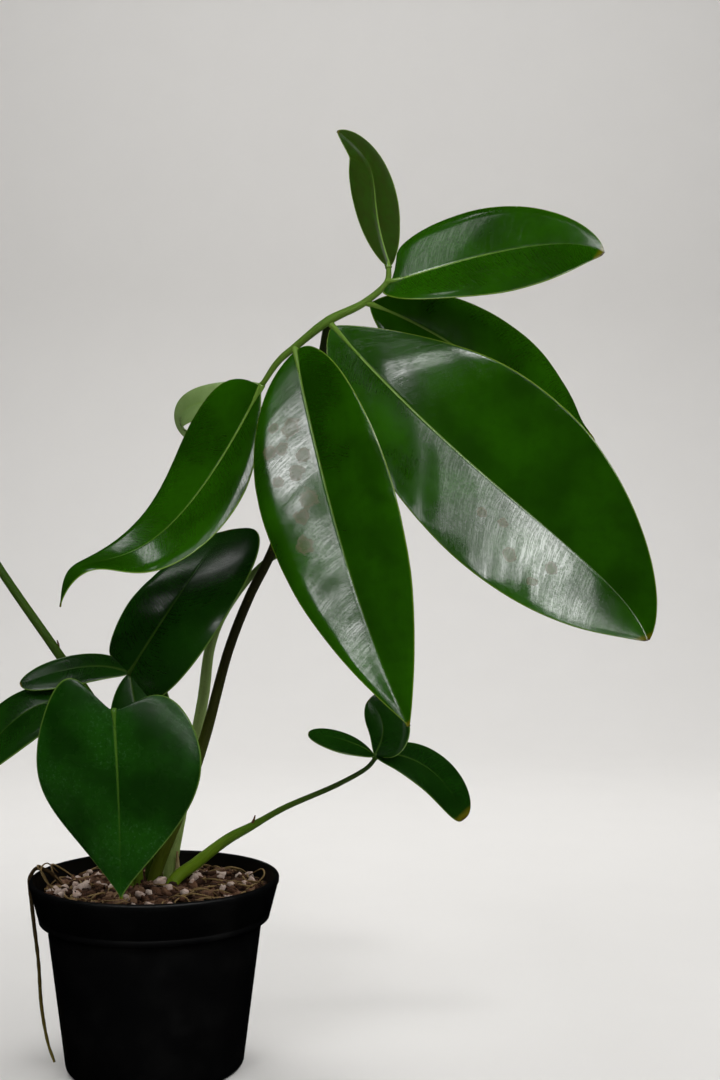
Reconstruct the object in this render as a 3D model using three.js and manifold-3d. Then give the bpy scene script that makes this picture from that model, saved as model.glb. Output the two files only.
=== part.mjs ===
// Potted Philodendron goeldii: a young plant with one grown, divided leaf and six smaller leaves,
// in a round black nursery pot of bark and perlite mix.
//
// Millimetres, +Z up. The origin is the middle of the pot's flat underside, which rests on the
// surface. The big leaf leans to +X, and the upper faces of its leaflets are turned to -Y.

import * as THREE from 'three';
import { mergeVertices } from 'three/addons/utils/BufferGeometryUtils.js';
import Module from 'manifold-3d';

const wasm = await Module();
wasm.setup();

// Air left between two pieces that touch on the real plant
const CLEARANCE = 0.3;

// The pot: a tapered cup with a tall collar round its mouth. The lip is the height of the rolled
// edge, and the collar's wall is collarWall thick.
const POT = {
  height: 84,
  rimRadius: 55,
  lip: 1.2,
  lipRound: 0.4,
  collarHeight: 18.5,
  collarFootRadius: 50.8,
  collarWall: 2.4,
  step: 0.8,
  shoulderRadius: 47.4,
  baseRadius: 39.4,
  baseRound: 3,
  baseChamfer: 0.9,
  wall: 1.5,
  floor: 2,
  sides: 44,
  drainHoles: 6,
  drainRadius: 3.5,
  drainCircle: 27,
  drainSides: 12,
};

// The soil: it fills the cup to a few millimetres under the lip and is a little higher in the
// middle. wallPlay makes up for the flat sides of the pot's round wall. Grains and chips are half
// sunk in its surface: a grain's height and depth are shares of its width.
const SOIL = {
  level: 76.5,
  mound: 2.2,
  relief: 0.7,
  waveX: 0.21,
  waveY: 0.17,
  crossWave: 0.3,
  sectors: 28,
  ringShares: [0.3, 0.58, 0.82, 1],
  shoulderOut: 0.6,
  shoulderUp: 1.4,
  wallPlay: 0.2,
  grains: 34,
  grainRadius: [1.5, 2.9],
  grainDepth: [0.75, 1],
  grainHeight: 0.8,
  grainLift: 0.25,
  chips: 18,
  chipHalf: [2.5, 5.5],
  chipWidth: 3.4,
  chipHeight: 2.4,
  tilt: 0.25,
  bitMargin: 3.4,
  bitSpread: 0.6,
  stemMargin: 3,
  seed: 7,
};

// Every stem goes this deep, and its hole is wider and deeper than it by the clearance
const STEM_FOOT = 62;
const STEM_SIDES = 8;

// A blade's thickness, and the midrib that stands out of its lower face and gets thinner towards
// the tip. Its rows run over these shares of the length, and its inner columns lie at these shares
// of the half width. Over the opening, a share of the length from the base, a blade goes from its
// base fold to its full fold. Outside the share rollStart of the half width the margin rolls down.
const BLADE = {
  thickness: 0.8,
  ribHalf: 1.1,
  ribMostShare: 0.3,
  ribDepth: 1.1,
  ribTaper: 0.7,
  footHalf: 0.8,
  seatGap: 0.8,
  firstRow: 0.002,
  lastRow: 0.998,
  rows: 16,
  lobeRows: 8,
  column: 0.55,
  lobeBackSpread: 0.08,
  opening: 0.35,
  rollStart: 0.72,
  roll: 1,
  calmWidth: 20,
};

// The big leaf's rachis: it carries the leaflets and is bent like a bow across the petiole's top
const RACHIS = {
  leftEnd: [50.3, -44, 297.4],
  leftBend: [57.4, -47, 307],
  left: [64.2, -49, 312.5],
  apex: [77.9, -52, 322.8],
  right: [93.1, -46, 331.5],
  rightBend: [102.2, -45, 340],
  rightEnd: [103, -43, 346.2],
  radii: [1.1, 1.5, 1.9, 1.5, 1.1],
  steps: 16,
};

// Stems, each a list of points from its foot in the soil to its top, with the radius at equal steps
const STEMS = {
  leaf_a: {
    points: [
      [-4, 13, STEM_FOOT],
      [-2.4, 13, 79],
      [10.4, 12.5, 113],
      [20.5, 12, 142.6],
      [32, 9, 184],
      [41.6, 6, 208],
      [51.3, 2, 227],
      [66.4, -14, 268],
      [75.6, -40, 312],
      RACHIS.apex,
    ],
    radii: [3, 2.9, 2.5, 2.2, 2.1, 2, 1.9, 1.7],
    steps: 22,
  },
  leaf_b: {
    points: [
      [-6, 20, STEM_FOOT],
      [-5, 19, 80],
      [-6, 10, 120],
      [-9.5, -2, 156],
      [-8.6, -9, 171],
      [-7.8, -14, 175.8],
    ],
    radii: [2.4, 2.2, 1.8, 1.5, 1.1],
    steps: 13,
  },
  leaf_c: {
    points: [
      [-12, 5, STEM_FOOT],
      [-12.5, 3, 80],
      [-14, -13, 122],
      [-12.5, -36, 153],
      [-10, -48, 161.8],
      [-9.2, -53, 162.6],
    ],
    radii: [2.4, 2.2, 1.8, 1.5, 1.1],
    steps: 14,
  },
  leaf_d: {
    points: [
      [-10.5, 10, STEM_FOOT],
      [-9.5, 11, 81],
      [-17.6, 12, 120],
      [-27.9, 14, 155],
      [-46.5, 16, 181.5],
      [-73.9, 20, 219.7],
      [-85, 22, 238],
      [-87, 22.3, 244],
    ],
    radii: [2.6, 2.5, 2.3, 2.2, 2.1, 2, 1.5],
    steps: 17,
  },
  leaf_e: {
    points: [
      [5.5, 3, STEM_FOOT],
      [7, 5.5, 79],
      [16.1, 17, 85.5],
      [28.8, 40, 92.1],
      [38.8, 58, 94.8],
      [53.6, 72, 101],
      [80.9, 88, 110.5],
      [95, 92.5, 118],
      [98.6, 93.2, 122.2],
    ],
    radii: [3, 2.9, 2.6, 2.4, 1.6, 1.4, 1.3, 1.1],
    steps: 22,
  },
  leaf_f: {
    points: [
      [-14.5, 14.5, STEM_FOOT],
      [-15.5, 13, 80],
      [-19, 0, 120],
      [-22.5, -14, 147],
      [-24.5, -20.5, 157],
    ],
    radii: [2.2, 2, 1.7, 1.4, 1.1],
    steps: 11,
  },
  leaf_g: {
    points: [
      [4, 18, STEM_FOOT],
      [4, 18, 79],
      [10, 21, 113.7],
      [18.9, 21, 159.6],
      [22.5, 21, 184.8],
      [28.8, 21, 200],
      [46, 21, 221.5],
      [57, 20.5, 228.5],
      [60.5, 20.2, 232.5],
    ],
    radii: [3.3, 3, 2.6, 2.6, 2.6, 2.2, 1.6, 1.1],
    steps: 20,
  },
};

// Where the sheath of a petiole ends, as a share of the petiole's length, with its pointed tip
const SHEATH_TIP = { foot: 0.08, radius: 0.35, steps: 6, sides: 6 };
const SHEATHS = {
  leaf_a: { end: 0.6, lean: [0.02, 0.12, 1], length: 12, radius: 1.3 },
  leaf_d: { end: 0.63, lean: [-0.1, 0.1, 1], length: 6, radius: 1.2 },
  leaf_e: { end: 0.5, lean: [0.4, 0.5, 0.75], length: 7, radius: 1.4 },
};

// The seven leaflets of the big leaf, from the left end of the rachis to its right end.
// A blade hangs on its midrib. seat is the point of the rachis that it grows from, at a small
// distance; then come the two handles and the tip of the midrib's curve. face is where its upper
// side looks, at the base and at the tip. Each half has its widest half width and two exponents
// that shape it towards the base and the tip. fold lifts both halves from the midrib, in degrees,
// baseFold is the fold at the base where that differs, and droop lowers the margins again, as a
// share of the half width. lobes is how far the base reaches back on the left and on the right,
// and roll is how far the margin rolls down.
const LEAFLETS = {
  leaflet_1: {
    seat: RACHIS.leftEnd,
    seatDistance: 2.2,
    midrib: [[41, -24, 293], [-4, -8, 296], [17, 0, 277]],
    face: [[-0.3, -0.6, 0.7], [-0.8, -0.55, 0]],
    right: [8.5, 0.6, 0.6],
    left: [9, 0.6, 0.6],
    fold: 12,
    droop: 0.1,
  },
  leaflet_2: {
    seat: RACHIS.leftEnd,
    seatDistance: 0.4,
    midrib: [[-3, -39, 190], [-22, -72, 246], [-29, -67, 206]],
    face: [[-0.46, -0.84, 0.28], [-0.78, -0.55, 0.3]],
    right: [26.8, 0.34, 1.12],
    left: [24.2, 1.14, 1.28],
    fold: 7,
    droop: 0.11,
  },
  leaflet_3: {
    seat: RACHIS.left,
    seatDistance: 2.2,
    midrib: [[72, -77, 271], [88, -79, 206], [110, -90, 161]],
    face: [[-0.61, -0.72, 0.27], [-0.18, -0.96, 0.25]],
    right: [29.4, 0.72, 1.1],
    left: [32.7, 0.62, 0.92],
    fold: 22,
    droop: 0.07,
    roll: 2,
  },
  leaflet_4: {
    seat: RACHIS.apex,
    seatDistance: 2.8,
    midrib: [[139, -40, 254], [200, -62, 219], [205, -74, 193]],
    face: [[0.3, -0.88, 0.38], [-0.33, -0.94, 0]],
    right: [38.7, 0.59, 0.64],
    left: [41.6, 0.83, 0.84],
    fold: 20,
    baseFold: 8,
    droop: -0.07,
    roll: 0.3,
  },
  leaflet_5: {
    seat: RACHIS.right,
    seatDistance: 2.3,
    midrib: [[157, -8, 314], [180, 14, 273], [199, 22, 279]],
    face: [[0.45, -0.88, 0.1], [0.3, -0.88, 0.35]],
    right: [27.3, 0.65, 0.69],
    left: [27, 0.81, 0.57],
    fold: 6,
    droop: 0.1,
  },
  leaflet_6: {
    seat: RACHIS.rightBend,
    seatDistance: 2,
    midrib: [[112, -52, 340], [172, -56, 363], [190, -59, 349]],
    face: [[-0.1, -0.75, 0.6], [0.2, -0.88, 0.35]],
    right: [23.5, 0.5, 0.56],
    left: [23.2, 0.48, 0.8],
    fold: 13,
    droop: 0.05,
    lobes: [4, 4],
  },
  leaflet_7: {
    seat: RACHIS.rightEnd,
    seatDistance: 0.6,
    midrib: [[90, -36, 384], [105, -7, 394], [81, -21, 409]],
    face: [[-0.78, 0.52, -0.34], [-0.68, 0.68, -0.28]],
    right: [16.3, 0.55, 0.77],
    left: [16.1, 0.6, 0.7],
    fold: 7,
    droop: 0.14,
  },
};

// The smaller leaves: each has a main blade and, where it is arrow shaped, two lobes that point
// back from the same joint on top of its stem. The midrib's curve starts at the joint.
const SMALL_LEAVES = {
  leaf_b: [
    {
      midrib: [[3, -30, 193], [18, -30, 216], [29, 20, 237]],
      face: [[-0.3, -0.9, 0.1], [-0.3, -0.5, 0.8]],
      right: [27, 0.35, 0.32],
      left: [20.5, 0.3, 0.42],
      fold: 7,
      droop: 0.11,
      lobes: [7, 7],
    },
    {
      midrib: [[-21, -15, 181], [-38, -22, 178], [-54.8, -24, 171]],
      face: [[-0.1, -0.7, 0.7], [0, -0.8, 0.6]],
      right: [7.5, 0.4, 0.5],
      left: [9, 0.6, 0.5],
      fold: 8,
      droop: 0.1,
    },
    {
      midrib: [[-7, -19, 166], [-4, -22, 154], [0, -22, 138]],
      face: [[-0.1, -0.9, 0.1], [0, -0.9, -0.1]],
      right: [13, 0.7, 0.5],
      left: [15, 0.35, 0.5],
      fold: 4,
      droop: 0.1,
    },
  ],
  leaf_c: [
    {
      midrib: [[-8, -58, 148], [-6.5, -57, 122], [-6, -58, 87]],
      face: [[-0.08, -1, 0], [-0.36, -0.93, 0.07]],
      right: [35.5, 0.62, 1.25],
      left: [34.8, 0.58, 1.3],
      fold: 4,
      droop: 0.13,
      lobes: [10, 22],
    },
  ],
  leaf_d: [
    {
      midrib: [[-108, 21, 252], [-132, 22, 246], [-152, 26, 214]],
      face: [[0, -0.4, 0.9], [-0.6, -0.4, 0.6]],
      right: [26, 0.5, 0.8],
      left: [26, 0.5, 0.8],
      fold: 8,
      droop: 0.12,
      lobes: [12, 12],
    },
  ],
  leaf_e: [
    {
      midrib: [[112, 97, 127], [137, 104, 116], [144, 108, 88]],
      face: [[0, -0.6, 0.8], [0.6, -0.6, 0.5]],
      right: [15, 0.45, 0.5],
      left: [14.5, 0.6, 0.32],
      fold: 8,
      droop: 0.1,
    },
    {
      midrib: [[92, 90, 130], [78, 89, 134], [64.8, 90, 135.6]],
      face: [[0, -0.4, 0.9], [0, -0.4, 0.9]],
      right: [8, 0.8, 0.5],
      left: [11, 0.6, 0.5],
      fold: 6,
      droop: 0.1,
    },
    {
      midrib: [[104, 98, 132], [106, 104, 142], [95, 108, 150]],
      face: [[-0.5, -0.7, 0.5], [-0.3, -0.8, 0.4]],
      right: [15, 0.2, 0.4],
      left: [9, 0.8, 0.5],
      fold: 6,
      droop: 0.1,
    },
  ],
  leaf_f: [
    {
      midrib: [[-40, -26, 172], [-58, -28, 162], [-78, -32, 128]],
      face: [[0.2, -0.6, 0.8], [-0.5, -0.7, 0.4]],
      right: [13, 0.9, 0.7],
      left: [16, 0.5, 0.7],
      fold: 8,
      droop: 0.1,
      lobes: [4, 4],
    },
  ],
  leaf_g: [
    {
      midrib: [[76, 18, 236], [95, 24, 218], [106, 30, 188]],
      face: [[0, -0.4, 0.9], [0.4, -0.6, 0.6]],
      right: [15, 0.5, 0.7],
      left: [15, 0.5, 0.7],
      fold: 8,
      droop: 0.1,
    },
    {
      midrib: [[58, 24, 238], [58, 30, 246], [62, 36, 252]],
      face: [[-0.4, -0.7, 0.5], [-0.3, -0.6, 0.7]],
      right: [7, 0.8, 0.5],
      left: [7, 0.8, 0.5],
      fold: 6,
      droop: 0.1,
    },
    {
      midrib: [[60, 12, 234], [64, 6, 228], [70, 4, 218]],
      face: [[-0.2, -0.4, 0.9], [0.2, -0.8, 0.5]],
      right: [7, 0.8, 0.5],
      left: [7, 0.8, 0.5],
      fold: 6,
      droop: 0.1,
    },
  ],
};

// A thin root that climbs over the lip on the left and hangs down outside the pot
const HANGING_ROOT = {
  points: [
    [-40, 7, 72],
    [-45, 7.5, 80.5],
    [-50.3, 7, 84.7],
    [-54.3, 6, 85.6],
    [-56.8, 4.5, 81.5],
    [-56, 3, 74],
    [-54.2, 1, 62],
    [-51.8, -1, 46],
    [-49.8, -4, 27],
    [-46.4, -6, 11],
    [-43, -9, 4],
  ],
  radii: [0.9, 0.9, 0.9, 0.8, 0.8, 0.6],
  steps: 30,
  sides: 6,
};

// A small pale scale leaf that stands at the foot of the stems
const SCALE_LEAF = {
  points: [[8.2, 14.6, 70], [8.1, 14.6, 80], [8, 14.6, 91.5]],
  radii: [1.6, 1.5, 0.4],
  steps: 5,
};

// Colours
const COLOURS = {
  pot: { color: 0x141415, roughness: 0.55 },
  soil: { color: 0x5b4031, roughness: 0.95 },
  root: { color: 0x4a3a1c, roughness: 0.8 },
  leaf: { color: 0x2f6b12, roughness: 0.28 },
  darkLeaf: { color: 0x1f4a12, roughness: 0.32 },
  paleStem: { color: 0xa9bf5a, roughness: 0.5 },
  greenStem: { color: 0x6f8f2a, roughness: 0.5 },
  brownStem: { color: 0x4b4a1c, roughness: 0.55 },
};

const vector = (numbers) => new THREE.Vector3(...numbers);

function random(seed) {
  let state = seed;
  return () => {
    state = (state * 1664525 + 1013904223) % 4294967296;
    return state / 4294967296;
  };
}

// A closed geometry as a solid that can be joined and cut
function solidFrom(geometry) {
  const bare = geometry.clone();
  bare.deleteAttribute('normal');
  bare.deleteAttribute('uv');
  const merged = mergeVertices(bare, 1e-4);
  return new wasm.Manifold(new wasm.Mesh({
    numProp: 3,
    vertProperties: merged.attributes.position.array,
    triVerts: new Uint32Array(merged.index.array),
  }));
}

function geometryFrom(solid) {
  const mesh = solid.getMesh();
  const geometry = new THREE.BufferGeometry();
  geometry.setAttribute('position', new THREE.BufferAttribute(mesh.vertProperties, 3));
  geometry.setIndex(new THREE.BufferAttribute(mesh.triVerts, 1));
  return geometry;
}

function fuse(geometries) {
  const solids = geometries.map(solidFrom);
  return geometryFrom(solids.reduce((sum, solid) => sum.add(solid)));
}

function indexedGeometry(points, triangles) {
  const geometry = new THREE.BufferGeometry();
  const numbers = points.flatMap((point) => point.toArray());
  geometry.setAttribute('position', new THREE.Float32BufferAttribute(numbers, 3));
  geometry.setIndex(triangles);
  return geometry;
}

// Reads a list of values as a line over equal steps, at a share of its length
function along(values, share) {
  const place = share * (values.length - 1);
  const low = Math.min(Math.floor(place), values.length - 2);
  return values[low] + (values[low + 1] - values[low]) * (place - low);
}

// A round stem of changing radius along a smooth curve, closed by a flat cap at both ends
function stemGeometry({ points, radii, steps, sides = STEM_SIDES }, grow = 0) {
  const curve = new THREE.CatmullRomCurve3(points.map(vector), false, 'centripetal');
  const frames = curve.computeFrenetFrames(steps, false);
  const rings = [];
  for (let i = 0; i <= steps; i += 1) {
    const share = i / steps;
    const centre = curve.getPointAt(share);
    if (i === 0) {
      centre.addScaledVector(frames.tangents[0], -grow);
    }
    const radius = along(radii, share) + grow;
    for (let k = 0; k < sides; k += 1) {
      const angle = (k / sides) * 2 * Math.PI;
      rings.push(centre.clone()
        .addScaledVector(frames.normals[i], radius * Math.cos(angle))
        .addScaledVector(frames.binormals[i], radius * Math.sin(angle)));
    }
  }
  const triangles = [];
  for (let i = 0; i < steps; i += 1) {
    for (let k = 0; k < sides; k += 1) {
      const next = (k + 1) % sides;
      const a = i * sides + k;
      const b = i * sides + next;
      triangles.push(a, b, b + sides, a, b + sides, a + sides);
    }
  }
  const last = steps * sides;
  for (let k = 1; k < sides - 1; k += 1) {
    triangles.push(0, k + 1, k, last, last + k, last + k + 1);
  }
  return indexedGeometry(rings, triangles);
}

// The share of the widest half width at fraction t of the blade's length
function widthShare(t, towardsBase, towardsTip) {
  const widest = towardsBase / (towardsBase + towardsTip);
  const top = widest ** towardsBase * (1 - widest) ** towardsTip;
  return (t ** towardsBase * (1 - t) ** towardsTip) / top;
}

// A blade: rows run from the base to the tip and columns from the left margin to the right one
function bladeGeometry(blade, rows) {
  const curve = new THREE.CubicBezierCurve3(...blade.midrib.map(vector));
  const length = curve.getLength();
  const faceBase = vector(blade.face[0]);
  const faceTip = vector(blade.face[1]);
  const { fold, baseFold = fold, roll = BLADE.roll, lobes: [leftLobe, rightLobe] = [0, 0] } = blade;
  const spread = BLADE.lobeBackSpread;

  // The point of the sheet's middle, and the way its upper face looks there
  const sheetPoint = (t, r) => {
    const half = Math.abs(r);
    const [widest, towardsBase, towardsTip] = r < 0 ? blade.left : blade.right;
    const width = Math.max(widest * widthShare(t, towardsBase, towardsTip), BLADE.footHalf);
    const lobe = r < 0 ? leftLobe : rightLobe;
    const back = lobe * (t / spread) * Math.exp(1 - t / spread) * (1 - t);
    const reach = length * t - half * back;
    const share = THREE.MathUtils.clamp(reach / length, 0, 1);
    const tangent = curve.getTangentAt(share);
    const centre = curve.getPointAt(share).addScaledVector(tangent, reach - share * length);
    const face = faceBase.clone().lerp(faceTip, share);
    const up = face.addScaledVector(tangent, -face.dot(tangent)).normalize();
    const right = tangent.clone().cross(up);
    const opened = THREE.MathUtils.smoothstep(t, 0, BLADE.opening);
    const lift = THREE.MathUtils.degToRad(THREE.MathUtils.lerp(baseFold, fold, opened));
    const out = r * width * Math.cos(lift);
    const calm = Math.min(1, width / BLADE.calmWidth) * Math.sin(Math.PI * t);
    const rolled = Math.max(0, half - BLADE.rollStart) / (1 - BLADE.rollStart);
    const droop = blade.droop * width * half * half + roll * rolled * rolled * calm;
    const rise = half * width * Math.sin(lift) - droop;
    const point = centre.addScaledVector(right, out).addScaledVector(up, rise);
    return { point, up, width };
  };

  const upper = [];
  const lower = [];
  for (let i = 0; i <= rows; i += 1) {
    const step = (1 - Math.cos((Math.PI * i) / rows)) / 2;
    const t = THREE.MathUtils.lerp(BLADE.firstRow, BLADE.lastRow, step);
    const rib = Math.min(BLADE.ribMostShare, BLADE.ribHalf / sheetPoint(t, 1).width);
    const columns = [-1, -BLADE.column, -rib, 0, rib, BLADE.column, 1];
    for (const r of columns) {
      const { point, up } = sheetPoint(t, r);
      const ribDepth = r === 0 ? BLADE.ribDepth * (1 - BLADE.ribTaper * t) : 0;
      upper.push(point.clone().addScaledVector(up, BLADE.thickness / 2));
      lower.push(point.clone().addScaledVector(up, -BLADE.thickness / 2 - ribDepth));
    }
  }
  return closedSheet(upper, lower, rows + 1);
}

// Two grids of points, one over the other, closed round their edge
function closedSheet(upper, lower, rowCount) {
  const columnCount = upper.length / rowCount;
  const under = upper.length;
  const triangles = [];
  const at = (i, j) => i * columnCount + j;
  const quad = (a, b, c, d) => triangles.push(a, b, c, a, c, d);
  for (let i = 0; i < rowCount - 1; i += 1) {
    for (let j = 0; j < columnCount - 1; j += 1) {
      const a = at(i, j);
      const b = at(i, j + 1);
      const c = at(i + 1, j + 1);
      const d = at(i + 1, j);
      quad(a, b, c, d);
      triangles.push(under + a, under + c, under + b, under + a, under + d, under + c);
    }
  }
  const last = columnCount - 1;
  for (let i = 0; i < rowCount - 1; i += 1) {
    quad(at(i, 0), at(i + 1, 0), under + at(i + 1, 0), under + at(i, 0));
    quad(at(i + 1, last), at(i, last), under + at(i, last), under + at(i + 1, last));
  }
  const end = rowCount - 1;
  for (let j = 0; j < last; j += 1) {
    quad(at(0, j + 1), at(0, j), under + at(0, j), under + at(0, j + 1));
    quad(at(end, j), at(end, j + 1), under + at(end, j + 1), under + at(end, j));
  }
  return indexedGeometry([...upper, ...lower], triangles);
}

// A leaflet's midrib starts just off the rachis, on the way to its first handle
function leafletGeometry({ seat, seatDistance, midrib, ...blade }) {
  const start = vector(seat);
  const way = vector(midrib[0]).sub(start).normalize();
  start.addScaledVector(way, seatDistance);
  return bladeGeometry({ midrib: [start.toArray(), ...midrib], ...blade }, BLADE.rows);
}

// A small leaf lies with the underside of its joint on top of its stem. It is its main blade with
// the lobes fused to it at the joint.
function smallLeafGeometry(name) {
  const stemTop = vector(STEMS[name].points.at(-1));
  const [main, ...lobes] = SMALL_LEAVES[name];
  const way = vector(main.midrib[0]).sub(stemTop).normalize();
  const face = vector(main.face[0]);
  const up = face.addScaledVector(way, -face.dot(way)).normalize();
  const rise = BLADE.ribDepth + BLADE.thickness / 2 + BLADE.seatGap;
  const joint = stemTop.addScaledVector(up, rise).toArray();
  const place = (blade, rows) => bladeGeometry({ ...blade, midrib: [joint, ...blade.midrib] }, rows);
  const blades = [place(main, BLADE.rows), ...lobes.map((lobe) => place(lobe, BLADE.lobeRows))];
  return fuse(blades);
}

// A petiole with the pointed tip of its sheath; the big leaf's one also carries the rachis
function petioleGeometry(name) {
  const stem = STEMS[name];
  const pieces = [stemGeometry(stem)];
  const sheath = SHEATHS[name];
  if (sheath) {
    const curve = new THREE.CatmullRomCurve3(stem.points.map(vector), false, 'centripetal');
    const foot = curve.getPointAt(sheath.end - SHEATH_TIP.foot);
    const middle = curve.getPointAt(sheath.end);
    const tip = middle.clone().addScaledVector(vector(sheath.lean).normalize(), sheath.length);
    const points = [foot, middle, tip].map((point) => point.toArray());
    const radii = [sheath.radius, sheath.radius, SHEATH_TIP.radius];
    pieces.push(stemGeometry({ points, radii, steps: SHEATH_TIP.steps, sides: SHEATH_TIP.sides }));
  }
  if (name === 'leaf_a') {
    const { leftEnd, leftBend, left, apex, right, rightBend, rightEnd, radii, steps } = RACHIS;
    const points = [leftEnd, leftBend, left, apex, right, rightBend, rightEnd];
    pieces.push(stemGeometry({ points, radii, steps }));
  }
  return fuse(pieces);
}

// The pot's wall seen in section, turned round the axis; the drain holes go through its floor
function potGeometry() {
  const collarFoot = POT.height - POT.collarHeight;
  const innerShoulder = POT.shoulderRadius - POT.wall;
  const innerBase = POT.baseRadius - POT.wall;
  const profile = [
    [0, 0],
    [POT.baseRadius - POT.baseRound, 0],
    [POT.baseRadius - POT.baseChamfer, POT.baseChamfer],
    [POT.baseRadius, POT.baseRound],
    [POT.shoulderRadius, collarFoot],
    [POT.collarFootRadius, collarFoot + POT.step],
    [POT.rimRadius, POT.height - POT.lip],
    [POT.rimRadius - POT.lipRound, POT.height],
    [POT.rimRadius - POT.collarWall + POT.lipRound, POT.height],
    [POT.rimRadius - POT.collarWall, POT.height - POT.lip],
    [POT.collarFootRadius - POT.collarWall, collarFoot + POT.step],
    [innerShoulder, collarFoot],
    [innerBase, POT.floor],
    [0, POT.floor],
  ];
  const turned = new THREE.LatheGeometry(profile.map(([r, z]) => new THREE.Vector2(r, z)), POT.sides);
  turned.rotateX(Math.PI / 2);
  let cup = solidFrom(turned);
  const { drainRadius, drainSides } = POT;
  for (let i = 0; i < POT.drainHoles; i += 1) {
    const angle = (i / POT.drainHoles) * 2 * Math.PI;
    const hole = new THREE.CylinderGeometry(drainRadius, drainRadius, 4 * POT.floor, drainSides);
    hole.rotateX(Math.PI / 2);
    hole.translate(POT.drainCircle * Math.cos(angle), POT.drainCircle * Math.sin(angle), 0);
    cup = cup.subtract(solidFrom(hole));
  }
  return geometryFrom(cup);
}

// The height of the soil's surface over a point: a low mound with gentle waves
function soilHeight(x, y) {
  const out = Math.hypot(x, y) / POT.rimRadius;
  const waves = Math.sin(SOIL.waveX * x + 1) * Math.cos(SOIL.waveY * y);
  const crossWaves = Math.sin(SOIL.crossWave * (y - x)) / 2;
  return SOIL.level + SOIL.mound * (1 - out * out) + SOIL.relief * (waves + crossWaves);
}

// The soil's outer wall follows the pot's inner wall
function soilBody() {
  const floor = POT.floor + CLEARANCE;
  const collarFoot = POT.height - POT.collarHeight;
  const gap = CLEARANCE + SOIL.wallPlay;
  const footRadius = POT.baseRadius - POT.wall - gap;
  const shoulder = POT.shoulderRadius - POT.wall - gap;
  const collarRise = (POT.rimRadius - POT.collarFootRadius) / (POT.collarHeight - POT.step - POT.lip);
  const collarBore = POT.collarFootRadius - POT.collarWall - gap;
  const mouth = collarBore + collarRise * (SOIL.level - collarFoot - POT.step);
  const ledge = [shoulder + SOIL.shoulderOut, collarFoot + SOIL.shoulderUp];
  const rings = [[footRadius, floor], [shoulder, collarFoot], ledge];
  const points = [new THREE.Vector3(0, 0, floor)];
  const ringPoint = (radius, k, z) => {
    const angle = (k / SOIL.sectors) * 2 * Math.PI;
    const x = radius * Math.cos(angle);
    const y = radius * Math.sin(angle);
    points.push(new THREE.Vector3(x, y, z ?? soilHeight(x, y)));
  };
  for (const [radius, z] of rings) {
    for (let k = 0; k < SOIL.sectors; k += 1) {
      ringPoint(radius, k, z);
    }
  }
  for (const share of [...SOIL.ringShares].reverse()) {
    for (let k = 0; k < SOIL.sectors; k += 1) {
      ringPoint(mouth * share, k);
    }
  }
  points.push(new THREE.Vector3(0, 0, soilHeight(0, 0)));
  const ringCount = rings.length + SOIL.ringShares.length;
  const triangles = [];
  for (let k = 0; k < SOIL.sectors; k += 1) {
    const next = (k + 1) % SOIL.sectors;
    triangles.push(0, 1 + next, 1 + k);
    for (let i = 0; i < ringCount - 1; i += 1) {
      const a = 1 + i * SOIL.sectors;
      const b = a + SOIL.sectors;
      triangles.push(a + k, a + next, b + next, a + k, b + next, b + k);
    }
    const top = 1 + (ringCount - 1) * SOIL.sectors;
    triangles.push(top + k, top + next, points.length - 1);
  }
  return { geometry: indexedGeometry(points, triangles), mouth };
}

// Perlite grains and bark chips lie half sunk in the surface, clear of the stems and the wall
function soilBits(mouth) {
  const draw = random(SOIL.seed);
  const between = ([low, high]) => low + (high - low) * draw();
  const feet = Object.values(STEMS).map(({ points }) => points[1]);
  const bits = [];
  while (bits.length < SOIL.grains + SOIL.chips) {
    const isGrain = bits.length < SOIL.grains;
    const size = between(isGrain ? SOIL.grainRadius : SOIL.chipHalf);
    const radius = (mouth - SOIL.bitMargin - SOIL.bitSpread * size) * Math.sqrt(draw());
    const angle = 2 * Math.PI * draw();
    const x = radius * Math.cos(angle);
    const y = radius * Math.sin(angle);
    const bit = isGrain
      ? new THREE.IcosahedronGeometry(size, 0)
      : new THREE.BoxGeometry(2 * size, SOIL.chipWidth, SOIL.chipHeight);
    if (isGrain) {
      bit.scale(1, between(SOIL.grainDepth), SOIL.grainHeight);
    }
    bit.rotateX(between([-SOIL.tilt, SOIL.tilt]));
    bit.rotateY(between([-SOIL.tilt, SOIL.tilt]));
    bit.rotateZ(between([0, 2 * Math.PI]));
    bit.translate(x, y, soilHeight(x, y) + (isGrain ? SOIL.grainLift * size : 0));
    const clear = feet.every(([fx, fy]) => Math.hypot(x - fx, y - fy) > SOIL.stemMargin + size);
    if (clear) {
      bits.push(bit);
    }
  }
  return bits;
}

// The soil is joined with its bits, then every stem's hole is cut
function soilGeometry() {
  const { geometry, mouth } = soilBody();
  let soil = [geometry, ...soilBits(mouth)].map(solidFrom).reduce((sum, solid) => sum.add(solid));
  const stems = [...Object.values(STEMS), HANGING_ROOT, SCALE_LEAF];
  for (const stem of stems) {
    soil = soil.subtract(solidFrom(stemGeometry(stem, CLEARANCE)));
  }
  const bodies = soil.decompose();
  return geometryFrom(bodies.reduce((best, body) => (body.volume() > best.volume() ? body : best)));
}

const plant = new THREE.Group();

function addPiece(name, geometry, colour) {
  const material = new THREE.MeshStandardMaterial({ ...COLOURS[colour], metalness: 0 });
  const mesh = new THREE.Mesh(geometry, material);
  mesh.name = name;
  plant.add(mesh);
}

const STEM_COLOURS = { leaf_a: 'brownStem', leaf_g: 'paleStem' };

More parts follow.
